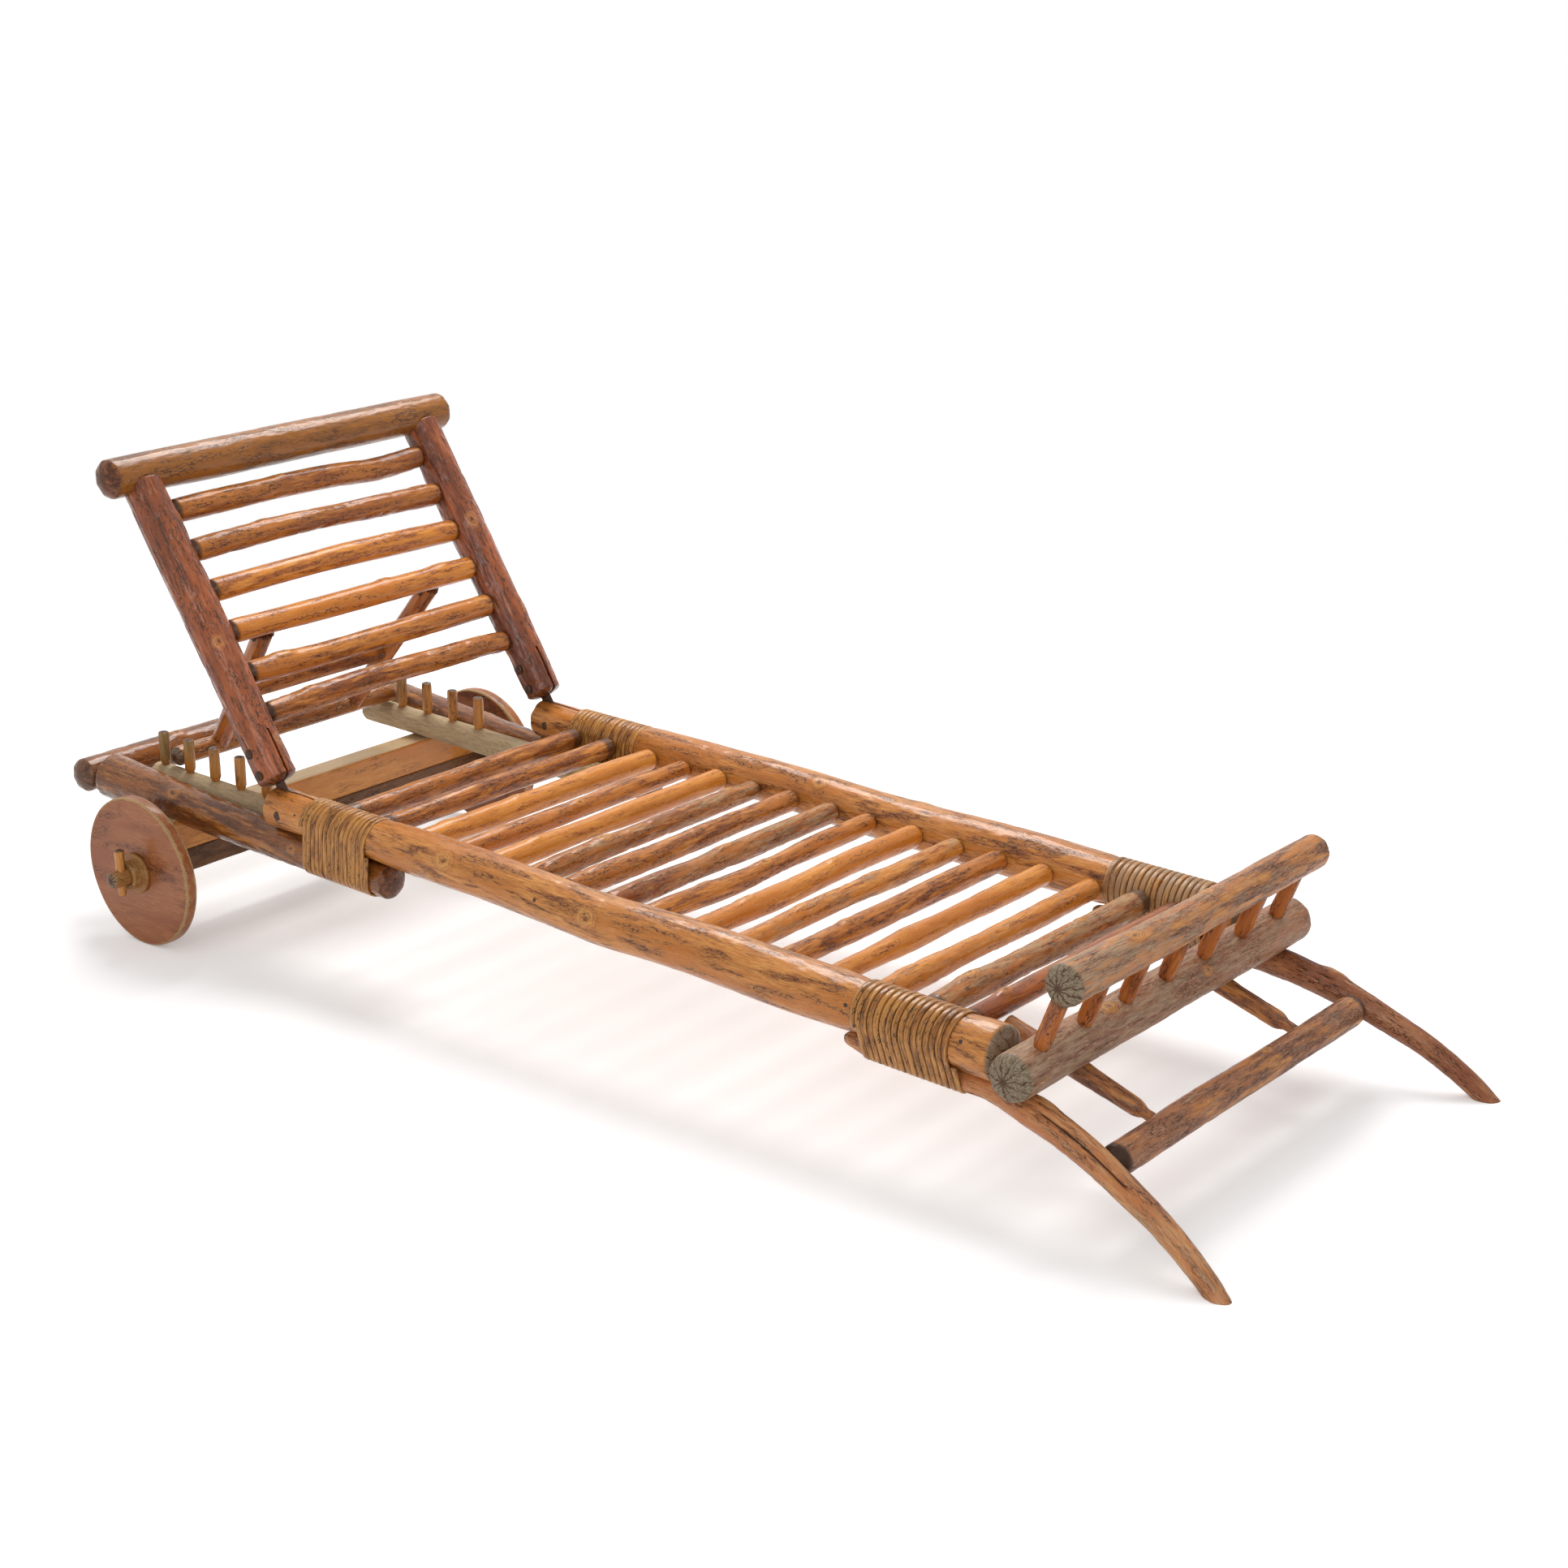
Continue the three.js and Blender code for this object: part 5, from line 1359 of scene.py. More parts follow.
@dataclass
class HeadStand:
    """The lower head rails, the crossbar, the pegged rails, the board and the axle."""

    workshop: Workshop
    deck: SeatDeck
    rear_end: float = 460.7
    front_end: float = 228.0
    rear_drop: float = 47.0
    rear_radius: float = 37.0
    front_radius: float = 28.0
    swell_share: float = 0.6
    gap: float = 0.3
    crossbar_place: float = 490.0
    crossbar_half: float = 338.0
    crossbar_radius: float = 28.0
    peg_rail_y: float = 235.7
    peg_rail_radius: float = 22.0
    peg_rail_drop: float = 48.0
    peg_rail_ends: tuple[float, float] = (-415.0, 232.0)
    pegs: int = 5
    peg_pitch: float = 64.0
    first_peg: float = -388.0
    peg_height: float = 56.0
    axle_place: float = 277.0
    axle_beam: float = 40.0
    board_width: float = 46.0
    board_half: float = 345.0
    axle_half: float = 445.7
    beam_half: float = 370.7
    wheel_radius: float = 124.0

    def rail_share(self, along: float) -> float:
        """Gives how far along a head rail a place is, from its rear end."""
        return (along + self.rear_end) / (self.rear_end + self.front_end)

    def radius_at(self, share: float) -> float:
        """Gives a head rail's radius at a share of its length."""
        radii = (self.rear_radius, self.front_radius, self.front_radius)
        return float(np.interp(share, (0, self.swell_share, 1), radii))

    def drop_at(self, along: float) -> float:
        """Gives how far a head rail's axis lies under the seat rail's, where the two touch."""
        return self.deck.rail_radius(along) + self.radius_at(self.rail_share(along)) + self.gap

    @property
    def axle_drop(self) -> float:
        """How far the axle lies below the deck's own plane."""
        tilt = math.radians(DECK.tilt_degrees)
        return (HINGE[2] / MM + self.axle_place * math.sin(tilt) - self.wheel_radius) / math.cos(tilt)

    def build_rails(self) -> None:
        """Builds the head rails and the crossbar behind them."""
        rows = {
            "right": Character(1.2, 0.8, 2, 0.42, (0.3, 0), 0, ((0.28, 130, 14, 3), (0.7, 160, 10, 2))),
            "left": Character(1.2, 0.7, 2, 0.4, (0.4, 0.02), 0, ((0.4, 60, 13, 3),)),
        }
        for name, sign in SIDES:
            y = sign * self.deck.rail_y
            lashed = self.deck.rail_ends[0]
            rows_at = [
                (-self.rear_end, self.rear_drop),
                ((lashed - self.rear_end) / 2, (self.rear_drop + self.drop_at(lashed)) / 2),
                (lashed, self.drop_at(lashed)),
                (47.0, self.drop_at(47.0)),
                (self.front_end, self.drop_at(self.front_end)),
            ]
            path = np.array([DECK.at(along, y, -drop) for along, drop in rows_at])
            girths = tuple((share, self.radius_at(share)) for share in (0, 0.3, 0.6, 1))
            stick = Stick(path, girths, 3 if sign < 0 else 4, (9, 9), rows[name], around=64)
            self.workshop.fit_stick(f"head_rail_{name}", "pole", stick, Stock.HEAD, "frame", "bark_pole")
        path = DECK.crossing(-self.crossbar_place, self.crossbar_half, -self.rear_drop)
        wear = Character(0.7, 0.6, 1, 0.36, (0.2, 0.28), 0, ((0.3, 100, 13, 3),), cracks=7)
        stick = Stick(path, even(self.crossbar_radius), 5, (15, 15), wear, around=48)
        self.workshop.fit_stick("head_crossbar", "pole", stick, Stock.HEAD, "frame", "bark_pole")

    def build_peg_rails(self) -> None:
        """Builds the two pegged rails that the prop drops into."""
        for name, sign in SIDES:
            y = sign * self.peg_rail_y
            path = np.array([DECK.at(along, y, -self.peg_rail_drop) for along in self.peg_rail_ends])
            wear = Character(0.8, 0.25, 1, 0.5, (0.7, 0.35))
            rail = Stick(path, even(self.peg_rail_radius), 6 if sign < 0 else 7, (10, 10), wear, around=40)
            shapes = [Timber(rail).build()]
            for i in range(self.pegs):
                along = self.first_peg + self.peg_pitch * i
                top = self.peg_rail_radius + self.peg_height
                foot = DECK.at(along, y, -self.peg_rail_drop)
                head = DECK.at(along, y, top - self.peg_rail_drop)
                profile = ((0, 6.5), (0.28, 6.5), (0.37, 9.3), (0.93, 9.2), (1, 8.4))
                grown = Character(0.5, 0.15, 0, 0.6, (0.2, 0.75 - 0.15 * i), 0, cracks=5)
                peg = Stick(
                    np.array([foot, head]), profile, 50 + i + (10 if sign < 0 else 0), (1, 1.4), grown,
                    Section.WHITTLED, around=27, pitch=3, upright=True, material_index=1,
                )
                shapes.append(Timber(peg).build())
            node, stocks = f"peg_rail_{name}", (Stock.DUSTY, Stock.PEG)
            self.workshop.fit(f"{node}_pegged", Shape.joined(shapes), stocks, "frame", "dusty_pole", (node,))

    def build_board(self) -> None:
        """Builds the cross board, dusty on its top edge."""
        top = -self.peg_rail_drop - self.peg_rail_radius - self.gap
        bottom = -self.axle_drop + self.axle_beam / 2 + self.gap
        middle, tall = (top + bottom) / 2, top - bottom
        path = DECK.crossing(-self.axle_place, self.board_half, middle)
        wear = Character(0.2, 0.1, 0, 0.62, (0, 0))
        half = self.board_width / 2
        flatness = tall / self.board_width
        plank = Stick(path, even(half), 8, (2, 2), wear, Section.SQUARE, flatness, around=96, pitch=6)
        shape = Timber(plank).build()
        level = DECK.at(-self.axle_place, 0, top)[2]
        near_top = np.clip(1 - (level - shape.points[:, 2]) / (3 * MM), 0, 1)
        shape.traits[:, 1] = near_top * 1.1
        self.workshop.fit("cross_board_plank", shape, (Stock.BOARD,), "frame", "board", ("cross_board",))

    def build_axle(self) -> None:
        """Builds the hewn axle beam with its round, whittled ends."""
        wear = Character(0.5, 0.3, 0, 0.4, (0.1, 0.1))
        beam_path = DECK.crossing(-self.axle_place, self.beam_half, -self.axle_drop)
        end_path = DECK.crossing(-self.axle_place, self.axle_half, -self.axle_drop)
        half = self.axle_beam / 2
        beam = Stick(beam_path, even(half), 9, (2, 2), wear, Section.SQUARE, 1.0, around=64, pitch=8)
        worn = Character(0.3, 0.2, 0, 0.6, (0.3, 0.3), cracks=6)
        ends = Stick(
            end_path, ((0, 12.5), (0.015, 14.6), (0.985, 14.6), (1, 12.5)), 10, (2.5, 2.5), worn,
            Section.WHITTLED, around=36, material_index=1,
        )
        shape = Shape.joined([Timber(beam).build(), Timber(ends).build()])
        self.workshop.fit("axle_beam", shape, (Stock.AXLE, Stock.HUB), "frame", "axle_wood", ("axle",))

    def build(self) -> None:
        """Builds the whole head stand."""
        self.build_rails()
        self.build_peg_rails()
        self.build_board()
        self.build_axle()


@dataclass
class WheelSet:
    """The plank wheels, their washers and the linch pins that hold them on."""

    workshop: Workshop
    head: HeadStand
    radius: float = 124.0
    width: float = 22.0
    plane: float = 382.0
    bore: float = 15.7
    gap: float = 0.3
    washer_radius: float = 33.0
    washer: float = 6.0
    collar_radius: float = 24.0
    collar: float = 16.0
    pin_radii: tuple[float, float] = (7.0, 9.0)
    pin_below: float = 31.0
    pin_above: float = 48.0

    def rim_wear(self, radius: np.ndarray, offset: np.ndarray) -> np.ndarray:
        """Gives how worn a wheel is, most on its rim and edges.

        Args:
            radius: Radii of points in millimetres.
            offset: Their offsets from the wheel's middle plane.

        Returns:
            The worn share at each point.
        """
        edge = np.hypot(radius - self.radius + 1.5, np.abs(offset) - self.width / 2 + 1.5)
        side = np.clip((radius - self.radius + 3) / 2, 0, 1)
        return 0.08 + 0.6 * np.exp(-((edge / 3.2) ** 2)) + 0.22 * side

    def build(self) -> None:
        """Builds both wheels with their fittings."""
        half = self.width / 2
        face = [(self.radius - 5, half), (self.radius - 12, half), (80, half), (50, half), (30, half)]
        wheel_profile = [
            (self.bore, half - 1),
            (self.bore + 1, half),
            *face[::-1],
            *rounded([(self.radius - 5, half), (self.radius, half), (self.radius, half - 5)], 4.9)[5:10],
            (self.radius, 4),
            (self.radius, -4),
            *rounded([(self.radius, 5 - half), (self.radius, -half), (self.radius - 5, -half)], 4.9)[5:10],
            *((r, -o) for r, o in face),
            (self.bore + 1, -half),
            (self.bore, 1 - half),
            (self.bore, 0),
        ]
        washer_corners = [
            (self.bore, 0), (self.washer_radius, 0), (self.washer_radius, self.washer),
            (self.collar_radius, self.washer), (self.collar_radius, self.washer + self.collar),
            (self.bore, self.washer + self.collar),
        ]
        for name, sign in SIDES:
            hub = joint_place(f"wheel_spin_{name}")
            seed = 11 if sign < 0 else 12
            wheel = lathe(wheel_profile, hub, sign, seed, 120, self.rim_wear, 0.5)
            node = f"wheel_{name}"
            self.workshop.fit(f"{node}_disc", wheel, (Stock.WHEEL,), node, "wheel_wood", (node,))
            outside = self.plane + half + self.gap
            base = DECK.at(-self.head.axle_place, sign * outside, -self.head.axle_drop)
            washer = lathe(rounded(washer_corners, 1.8), base, sign, seed + 2, 72, None, 0.6)
            washer.traits[:, 1] = 0.35
            node = f"hub_washer_{name}"
            self.workshop.fit(f"{node}_turned", washer, (Stock.HUB,), "frame", "washer_wood", (node,))
            across = sign * (outside + self.washer + self.collar + self.gap + self.pin_radii[1])
            drops = (self.head.axle_drop + self.pin_below, self.head.axle_drop - self.pin_above)
            path = np.array([DECK.at(-self.head.axle_place, across, -drop) for drop in drops])
            wear = Character(0.5, 0.2, 0, 0.6, (0.15, 0.25), cracks=5)
            pin = Stick(
                path,
                ((0, 5.5), (0.08, self.pin_radii[0]), (0.8, 8.4), (0.95, self.pin_radii[1]), (1, 8.2)),
                seed + 4,
                (2, 2),
                wear,
                Section.WHITTLED,
                around=27,
                pitch=2,
                upright=True,
            )
            self.workshop.fit_stick(f"linch_pin_{name}", "whittled", pin, Stock.PEG, "frame", "pin_wood")


@dataclass
class FootStand:
    """The bent branch legs, their stretcher and braces, and the spindled footboard."""

    workshop: Workshop
    deck: SeatDeck
    leg_radius: float = 16.0
    leg_tail: float = 1098.0
    lashed: tuple[float, float] = (1132.0, 1302.0)
    straight_beyond: float = 30.0
    reach: float = 446.0
    fall: float = 159.0
    splay: float = 65.0
    gap: float = 0.3
    bends: tuple[tuple[float, float, float], ...] = (
        (0.218, 0.013, 0.2), (0.439, 0.157, 0.4), (0.602, 0.333, 0.57), (0.741, 0.503, 0.72),
        (0.882, 0.748, 0.87), (0.955, 0.912, 0.95), (1, 1, 1),
    )
    leg_girths: tuple[tuple[float, float], ...] = (
        (0, 0.5), (0.06, 1), (0.34, 1), (0.44, 1.34), (0.62, 1.19), (0.8, 1), (1, 0.76),
    )
    saddle: float = 19.6
    rail_radius: float = 33.0
    rail_half: float = 361.0
    upper_radii: tuple[float, ...] = (29.0, 27.5, 26.0, 25.5, 25.0)
    upper_half: float = 320.0
    upper_out: float = 46.0
    upper_up: float = 126.0
    spindles: int = 7
    spindle_pitch: float = 96.0
    spindle_shift: float = -9.0
    spindle_radius: float = 12.0
    stretcher_place: float = 1528.0
    stretcher_drop: float = 91.0
    stretcher_radius: float = 23.0
    brace_half_span: float = 178.0
    brace_radius: float = 13.0
    brace_neck: float = 8.0
    brace_neck_length: float = 26.0
    brace_rear_drop: float = 20.0

    def leg_drop(self, along: float) -> float:
        """Gives how far a leg's axis lies under the seat rail's in its lashed stretch."""
        return self.deck.rail_radius(along) + self.leg_radius + self.gap

    def build_legs(self) -> None:
        """Builds the bent legs, flat where they stand on the ground."""
        worn = {
            "right": Character(1, 0.5, 0, 0.55, (0.2, 0.42), 0, ((0.47, 60, 12, 3),), (), (0.44, 0.74, 128)),
            "left": Character(1.2, 0.5, 0, 0.3, (0.15, 0.3), 0, ((0.56, 60, 13, 6),), (), (0.49, 0.6, 120)),
        }
        for name, sign in SIDES:
            y = sign * self.deck.rail_y
            held = (self.leg_tail, *self.lashed, self.lashed[1] + self.straight_beyond)
            points = [DECK.at(along, y, -self.leg_drop(along)) for along in held]
            for reach, fall, splay in self.bends:
                drop = self.leg_drop(self.lashed[1]) + self.fall * fall
                along = self.lashed[1] + self.reach * reach
                points.append(DECK.at(along, y + sign * self.splay * splay, -drop))
            girths = tuple((share, girth * self.leg_radius) for share, girth in self.leg_girths)
            seed = 13 if sign < 0 else 14
            stick = Stick(np.array(points), girths, seed, (10, 10), worn[name], around=72, pitch=3)
            node = f"bent_leg_{name}"
            piece = self.workshop.fit_stick(node, "branch", stick, Stock.LEG, "frame", "bark_pole")
            tip = points[-1]
            corners = [
                (tip[0] + ahead * 0.2, tip[1] + across * 0.2, level)
                for level in (-0.1, 0.0)
                for ahead, across in ((-1, -1), (1, -1), (1, 1), (-1, 1))
            ]
            # The sawn flat where the leg stands on the floor gets painted shade too.
            saw_slot(piece, np.array(corners))

    @property
    def rail_place(self) -> float:
        """Where the lower foot rail lies along the deck."""
        return self.deck.rail_ends[1] + self.gap + self.rail_radius

    @property
    def rail_rise(self) -> float:
        """How far the lower foot rail's axis lies above the seat rails'."""
        first_fall = self.fall * self.bends[0][1]
        return self.saddle + self.gap + self.rail_radius - self.leg_drop(self.lashed[1]) - first_fall

    def build_footboard(self) -> None:
        """Builds the two foot rails and the spindles between them."""
        x, z = self.rail_place, self.rail_rise
        path = DECK.crossing(x, self.rail_half, z)
        knots = ((0.3, 110, 14, 3), (0.6, 150, 10, 2))
        wear = Character(1.4, 0.5, 2, 0.3, (0.52, 0.42), 0, knots, cracks=11)
        girths = ((0, self.rail_radius), (0.4, self.rail_radius - 0.5), (1, self.rail_radius))
        shapes = [Timber(Stick(path, girths, 15, (20, 20), wear, around=52)).build()]
        for i in range(self.spindles):
            y = self.spindle_shift + self.spindle_pitch * (i - (self.spindles - 1) / 2)
            foot, head = DECK.at(x, y, z), DECK.at(x + self.upper_out, y, z + self.upper_up)
            grown = Character(0.6, 0.3, 0, 0.42, (0.1, 0.15), 0.6, cracks=4, shade_reach=34)
            profile = ((0, 10), (0.24, 10), (0.31, self.spindle_radius), (0.8, 11.6), (1, 10.6))
            ends = np.array([foot, head])
            spindle = Stick(
                ends, profile, 60 + i, (1, 1), grown, around=30, pitch=3, upright=True, material_index=1
            )
            shapes.append(Timber(spindle).build())
        node, stocks = "foot_rail_lower", (Stock.WEATHERED, Stock.PEELED)
        shape = Shape.joined(shapes)
        self.workshop.fit(f"{node}_spindled", shape, stocks, "frame", "weathered_pole", (node,))
        path = DECK.crossing(x + self.upper_out, self.upper_half, z + self.upper_up)
        knots = ((0.25, 110, 13, 2), (0.55, 80, 10, 2))
        wear = Character(1.5, 0.6, 3, 0.5, (0.5, 0.32), 0, knots, ((0.5, -2, 0),), cracks=13)
        girths = tuple(zip((0, 0.1, 0.5, 0.8, 1), self.upper_radii))
        stick = Stick(path, girths, 16, (18, 16), wear, around=48)
        self.workshop.fit_stick("foot_rail_upper", "pole", stick, Stock.WEATHERED, "frame", "weathered_pole")

    def build_stretcher(self) -> None:
        """Builds the leg stretcher, whittled where it enters the legs, and the braces."""
        half = self.deck.rail_y + self.splay / 2 + 4
        path = DECK.crossing(self.stretcher_place, half, -self.stretcher_drop)
        wear = Character(1.2, 0.4, 3, 0.44, (0.34, 0.28), 0.9, ((0.6, 90, 9, 2),), shade_reach=40)
        r = self.stretcher_radius
        girths = (
            (0, 9), (0.0405, 9.5), (0.0425, r * 0.84), (0.047, r * 0.95), (0.06, r - 0.4), (0.4, r),
            (0.7, r - 1.2), (0.94, r - 0.8), (0.953, r * 0.92), (0.9575, r * 0.82), (0.9595, 9.5), (1, 9),
        )
        stick = Stick(path, girths, 17, (2, 2), wear, around=40)
        self.workshop.fit_stick("leg_stretcher", "pole", stick, Stock.WEATHERED, "frame", "weathered_pole")
        for name, sign in SIDES:
            y = sign * self.brace_half_span
            start = DECK.at(self.deck.rung_place + 14, y, -self.brace_rear_drop)
            end = DECK.at(self.stretcher_place, y, -self.stretcher_drop)
            length = float(np.linalg.norm(end - start)) / MM
            neck = 1 - (self.stretcher_radius + self.brace_neck_length) / length
            girths = (
                (0, 12), (0.3, self.brace_radius + 1), (neck, self.brace_radius),
                (neck + 0.02, self.brace_radius - 1.5), (neck + 0.05, self.brace_neck),
                (1, self.brace_neck - 1),
            )
            wear = Character(1.2, 0.4, 2, 0.45, (0.35, 0.3), 0.4, ((0.5, 90, 8, 2),))
            seed = 18 if sign < 0 else 19
            stick = Stick(np.array([start, end]), girths, seed, (2, 2), wear, around=32, pitch=3)
            self.workshop.fit_stick(f"brace_{name}", "pole", stick, Stock.WEATHERED, "frame", "peeled_pole")

    def build(self) -> None:
        """Builds the whole foot stand."""
        self.build_legs()
        self.build_footboard()
        self.build_stretcher()


@dataclass
class BackRest:
    """The back's posts, slats and top rail, and its steel hinge straps."""

    workshop: Workshop
    deck: SeatDeck
    post_start: float = 48.0
    post_radius: float = 32.0
    top_reach: float = 580.0
    top_radius: float = 33.0
    top_half: float = 361.0
    slat_start: float = 159.0
    slat_pitch: float = 70.0
    slat_radius: float = 19.0
    slat_half: float = 281.0
    tenon_radius: float = 11.5
    peeled: tuple[int, ...] = (2, 3)
    slot_end: float = 130.0
    rivets: tuple[float, ...] = (0.0, 68.0, 105.0)

    def build_posts(self) -> None:
        """Builds the posts, sawn up the middle of their lower ends for the straps."""
        knots = {
            "right": ((0.12, 110, 10, 2), (0.45, 60, 12, 3), (0.85, 150, 12, 3)),
            "left": ((0.3, 120, 12, 3), (0.62, 70, 14, 4)),
        }
        for name, sign in SIDES:
            y = sign * self.deck.rail_y
            path = np.array([BACK.at(0, y, along) for along in (self.post_start, self.top_reach - 12)])
            r = self.post_radius
            girths = ((0, r - 1.5), (0.2, r - 0.6), (0.5, r), (0.8, r + 0.6), (1, r - 0.6))
            wear = Character(1.4, 1.3, 2, 0.34, (0, 0.06), 0, knots[name], cracks=8)
            stick = Stick(path, girths, 41 if sign < 0 else 42, (10, 6), wear, around=72, pitch=3)
            node = f"back_post_{name}"
            piece = self.workshop.fit_stick(node, "pole", stick, Stock.POST, "back", "bark_pole")
            half = self.deck.slot_width / 2
            corners = [
                BACK.at(thick, y + across, along)
                for along in (self.post_start - 8, self.slot_end)
                for thick, across in ((-r - 8, -half), (r + 8, -half), (r + 8, half), (-r - 8, half))
            ]
            saw_slot(piece, np.array(corners))

    def build_slats(self) -> None:
        """Builds the back's slats, from the lowest to the highest."""
        rows = (
            Character(2, 0.8, 4, 0.42, (0.1, 0.2), 0.8, ((0.2, 90, 10, 2),), ((0.4, 4, 0), (0.75, 6, 0))),
            Character(1.6, 0.4, 3, 0.55, (0.15, 0.1), 0.8, ((0.16, 90, 15, 4),), ((0.3, -3, 0),)),
            Character(1.2, 0.3, 2, 0.52, (0, 0), 0.8, ((0.84, 90, 14, 3), (0.62, 70, 9, 3))),
            Character(1.5, 0.2, 3, 0.5, (0, 0.05), 0.8, ((0.7, 110, 9, 2),), ((0.5, 4, 0),)),
            Character(1.8, 0.9, 4, 0.36, (0.05, 0.15), 0.8, ((0.3, 60, 9, 2),), ((0.4, 5, 0),)),
            Character(1.6, 0.6, 4, 0.38, (0, 0.05), 0.8, ((0.42, 90, 9, 2),), ((0.5, 3, 0), (0.8, -4, 0))),
        )
        for i, wear in enumerate(rows):
            stock = Stock.AMBER if i in self.peeled else Stock.SLAT
            along = self.slat_start + self.slat_pitch * i
            path = BACK.crossing(0, self.slat_half, along)
            r = self.slat_radius
            girths = (
                (0, self.tenon_radius), (0.031, self.tenon_radius), (0.034, r * 0.86), (0.042, r * 0.97),
                (0.07, r * 1.01), (0.5, r), (0.93, r * 1.01), (0.958, r * 0.97), (0.966, r * 0.86),
                (0.969, self.tenon_radius), (1, self.tenon_radius),
            )
            stick = Stick(path, girths, 43 + i, (1, 1), wear, around=38)
            self.workshop.fit_stick(f"back_slat_{i + 1}", "stick", stick, stock, "back", "slat")

    def build(self) -> None:
        """Builds the whole back."""
        self.build_posts()
        self.build_slats()
        path = BACK.crossing(0, self.top_half, self.top_reach)
        r = self.top_radius
        wear = Character(0.8, 0.4, 0.6, 0.42, (0, 0.1), 0, ((0.45, 20, 11, 2),), cracks=6)
        girths = ((0, r - 2), (0.3, r - 1.2), (0.55, r - 1), (1, r - 2.6))
        stick = Stick(path, girths, 49, (16, 16), wear, around=72)
        self.workshop.fit_stick("back_top_rail", "pole", stick, Stock.TOP_RAIL, "back", "bark_pole")
        for name, sign in SIDES:
            self.workshop.dress_solid(f"hinge_strap_{name}", Stock.STEEL, 0.7)
            y = sign * self.deck.rail_y
            heads = []
            for along in self.rivets:
                reach = self.deck.rail_radii[0] if along == 0 else self.post_radius
                for way in (-1, 1):
                    place = BACK.at(0, y + way * (reach + 0.2), along)
                    heads.append(nail_head(place, np.array([0, way, 0]), 7.6, 3.0))
            self.workshop.fit(f"rivet_heads_{name}", Shape.joined(heads), (Stock.STEEL,), "back", "steel")


@dataclass
class BackProp:
    """The prop hung behind the back: two legs, their stretcher and the bar that drops between the pegs."""

    workshop: Workshop
    head: HeadStand
    leg_radius: float = 17.5
    top_span: float = 360.0
    foot_span: float = 294.0
    headroom: float = 10.0
    fork_width: float = 4.6
    fork_ends: tuple[float, float] = (-24.0, 40.0)
    fork_depth: float = 40.0
    stretcher_share: float = 0.47
    stretcher_radius: float = 13.0
    bar_radius: float = 17.0
    bar_half: float = 243.0
    rest_gap: float = 2.8

    def build(self) -> None:
        """Builds the prop at rest in its notch."""
        pivot = joint_place("prop_swing")
        rest = self.head.first_peg + self.head.peg_pitch / 2
        rise = self.head.peg_rail_radius - self.head.peg_rail_drop + self.rest_gap + self.bar_radius
        bar = DECK.at(rest, 0, rise)
        across = np.array([0, MM, 0])
        path = np.array([bar - across * self.bar_half, bar + across * self.bar_half])
        wear = Character(0.5, 0.5, 0, 0.35, (0.25, 0.3), 0, ((0.3, 60, 8, 1.5),), cracks=7)
        stick = Stick(path, even(self.bar_radius - 0.6), 71, (9, 9), wear, around=40)
        self.workshop.fit_stick("prop_foot_bar", "pole", stick, Stock.BARK, "prop", "dusty_pole")
        for name, sign in SIDES:
            top = pivot + across * sign * self.top_span / 2
            foot = bar + across * sign * self.foot_span / 2
            head = top + unit(top - foot) * self.headroom * MM
            grown = Character(0.5, 0.25, 0, 0.5, (0.05, 0.1), 0.3, cracks=4)
            radius = self.leg_radius - 0.8
            girths = ((0, radius - 1), (0.4, radius), (1, radius))
            ends, seed = np.array([foot, head]), 72 + (sign > 0)
            leg = Stick(ends, girths, seed, (1.5, 4), grown, Section.WHITTLED, around=45)
            node = f"prop_leg_{name}"
            piece = self.workshop.fit_stick(node, "whittled", leg, Stock.PEELED, "prop", "peeled_pole")
            lean = unit(head - foot)
            back = unit(np.cross(lean, np.array([0, 1.0, 0])))
            wide, deep = across * self.fork_width / 2, back * self.fork_depth * MM
            corners = [
                top + wide * side + deep * depth + lean * level * MM
                for level in self.fork_ends
                for depth, side in ((-1, -1), (1, -1), (1, 1), (-1, 1))
            ]
            saw_slot(piece, np.array(corners))
            self.workshop.dress_solid(f"prop_lug_{name}", Stock.STEEL, 0.7)
        share = self.stretcher_share
        middle = bar + (pivot - bar) * share
        half = (self.foot_span + (self.top_span - self.foot_span) * share) / 2 - 8
        path = np.array([middle - across * half, middle + across * half])
        wear = Character(0.8, 0.3, 1, 0.4, (0.05, 0.1), 0.5)
        girths = ((0, 10), (0.04, self.stretcher_radius), (0.96, self.stretcher_radius), (1, 10))
        stick = Stick(path, girths, 75, (1, 1), wear, around=34)
        self.workshop.fit_stick("prop_stretcher", "pole", stick, Stock.SLAT, "prop", "peeled_pole")


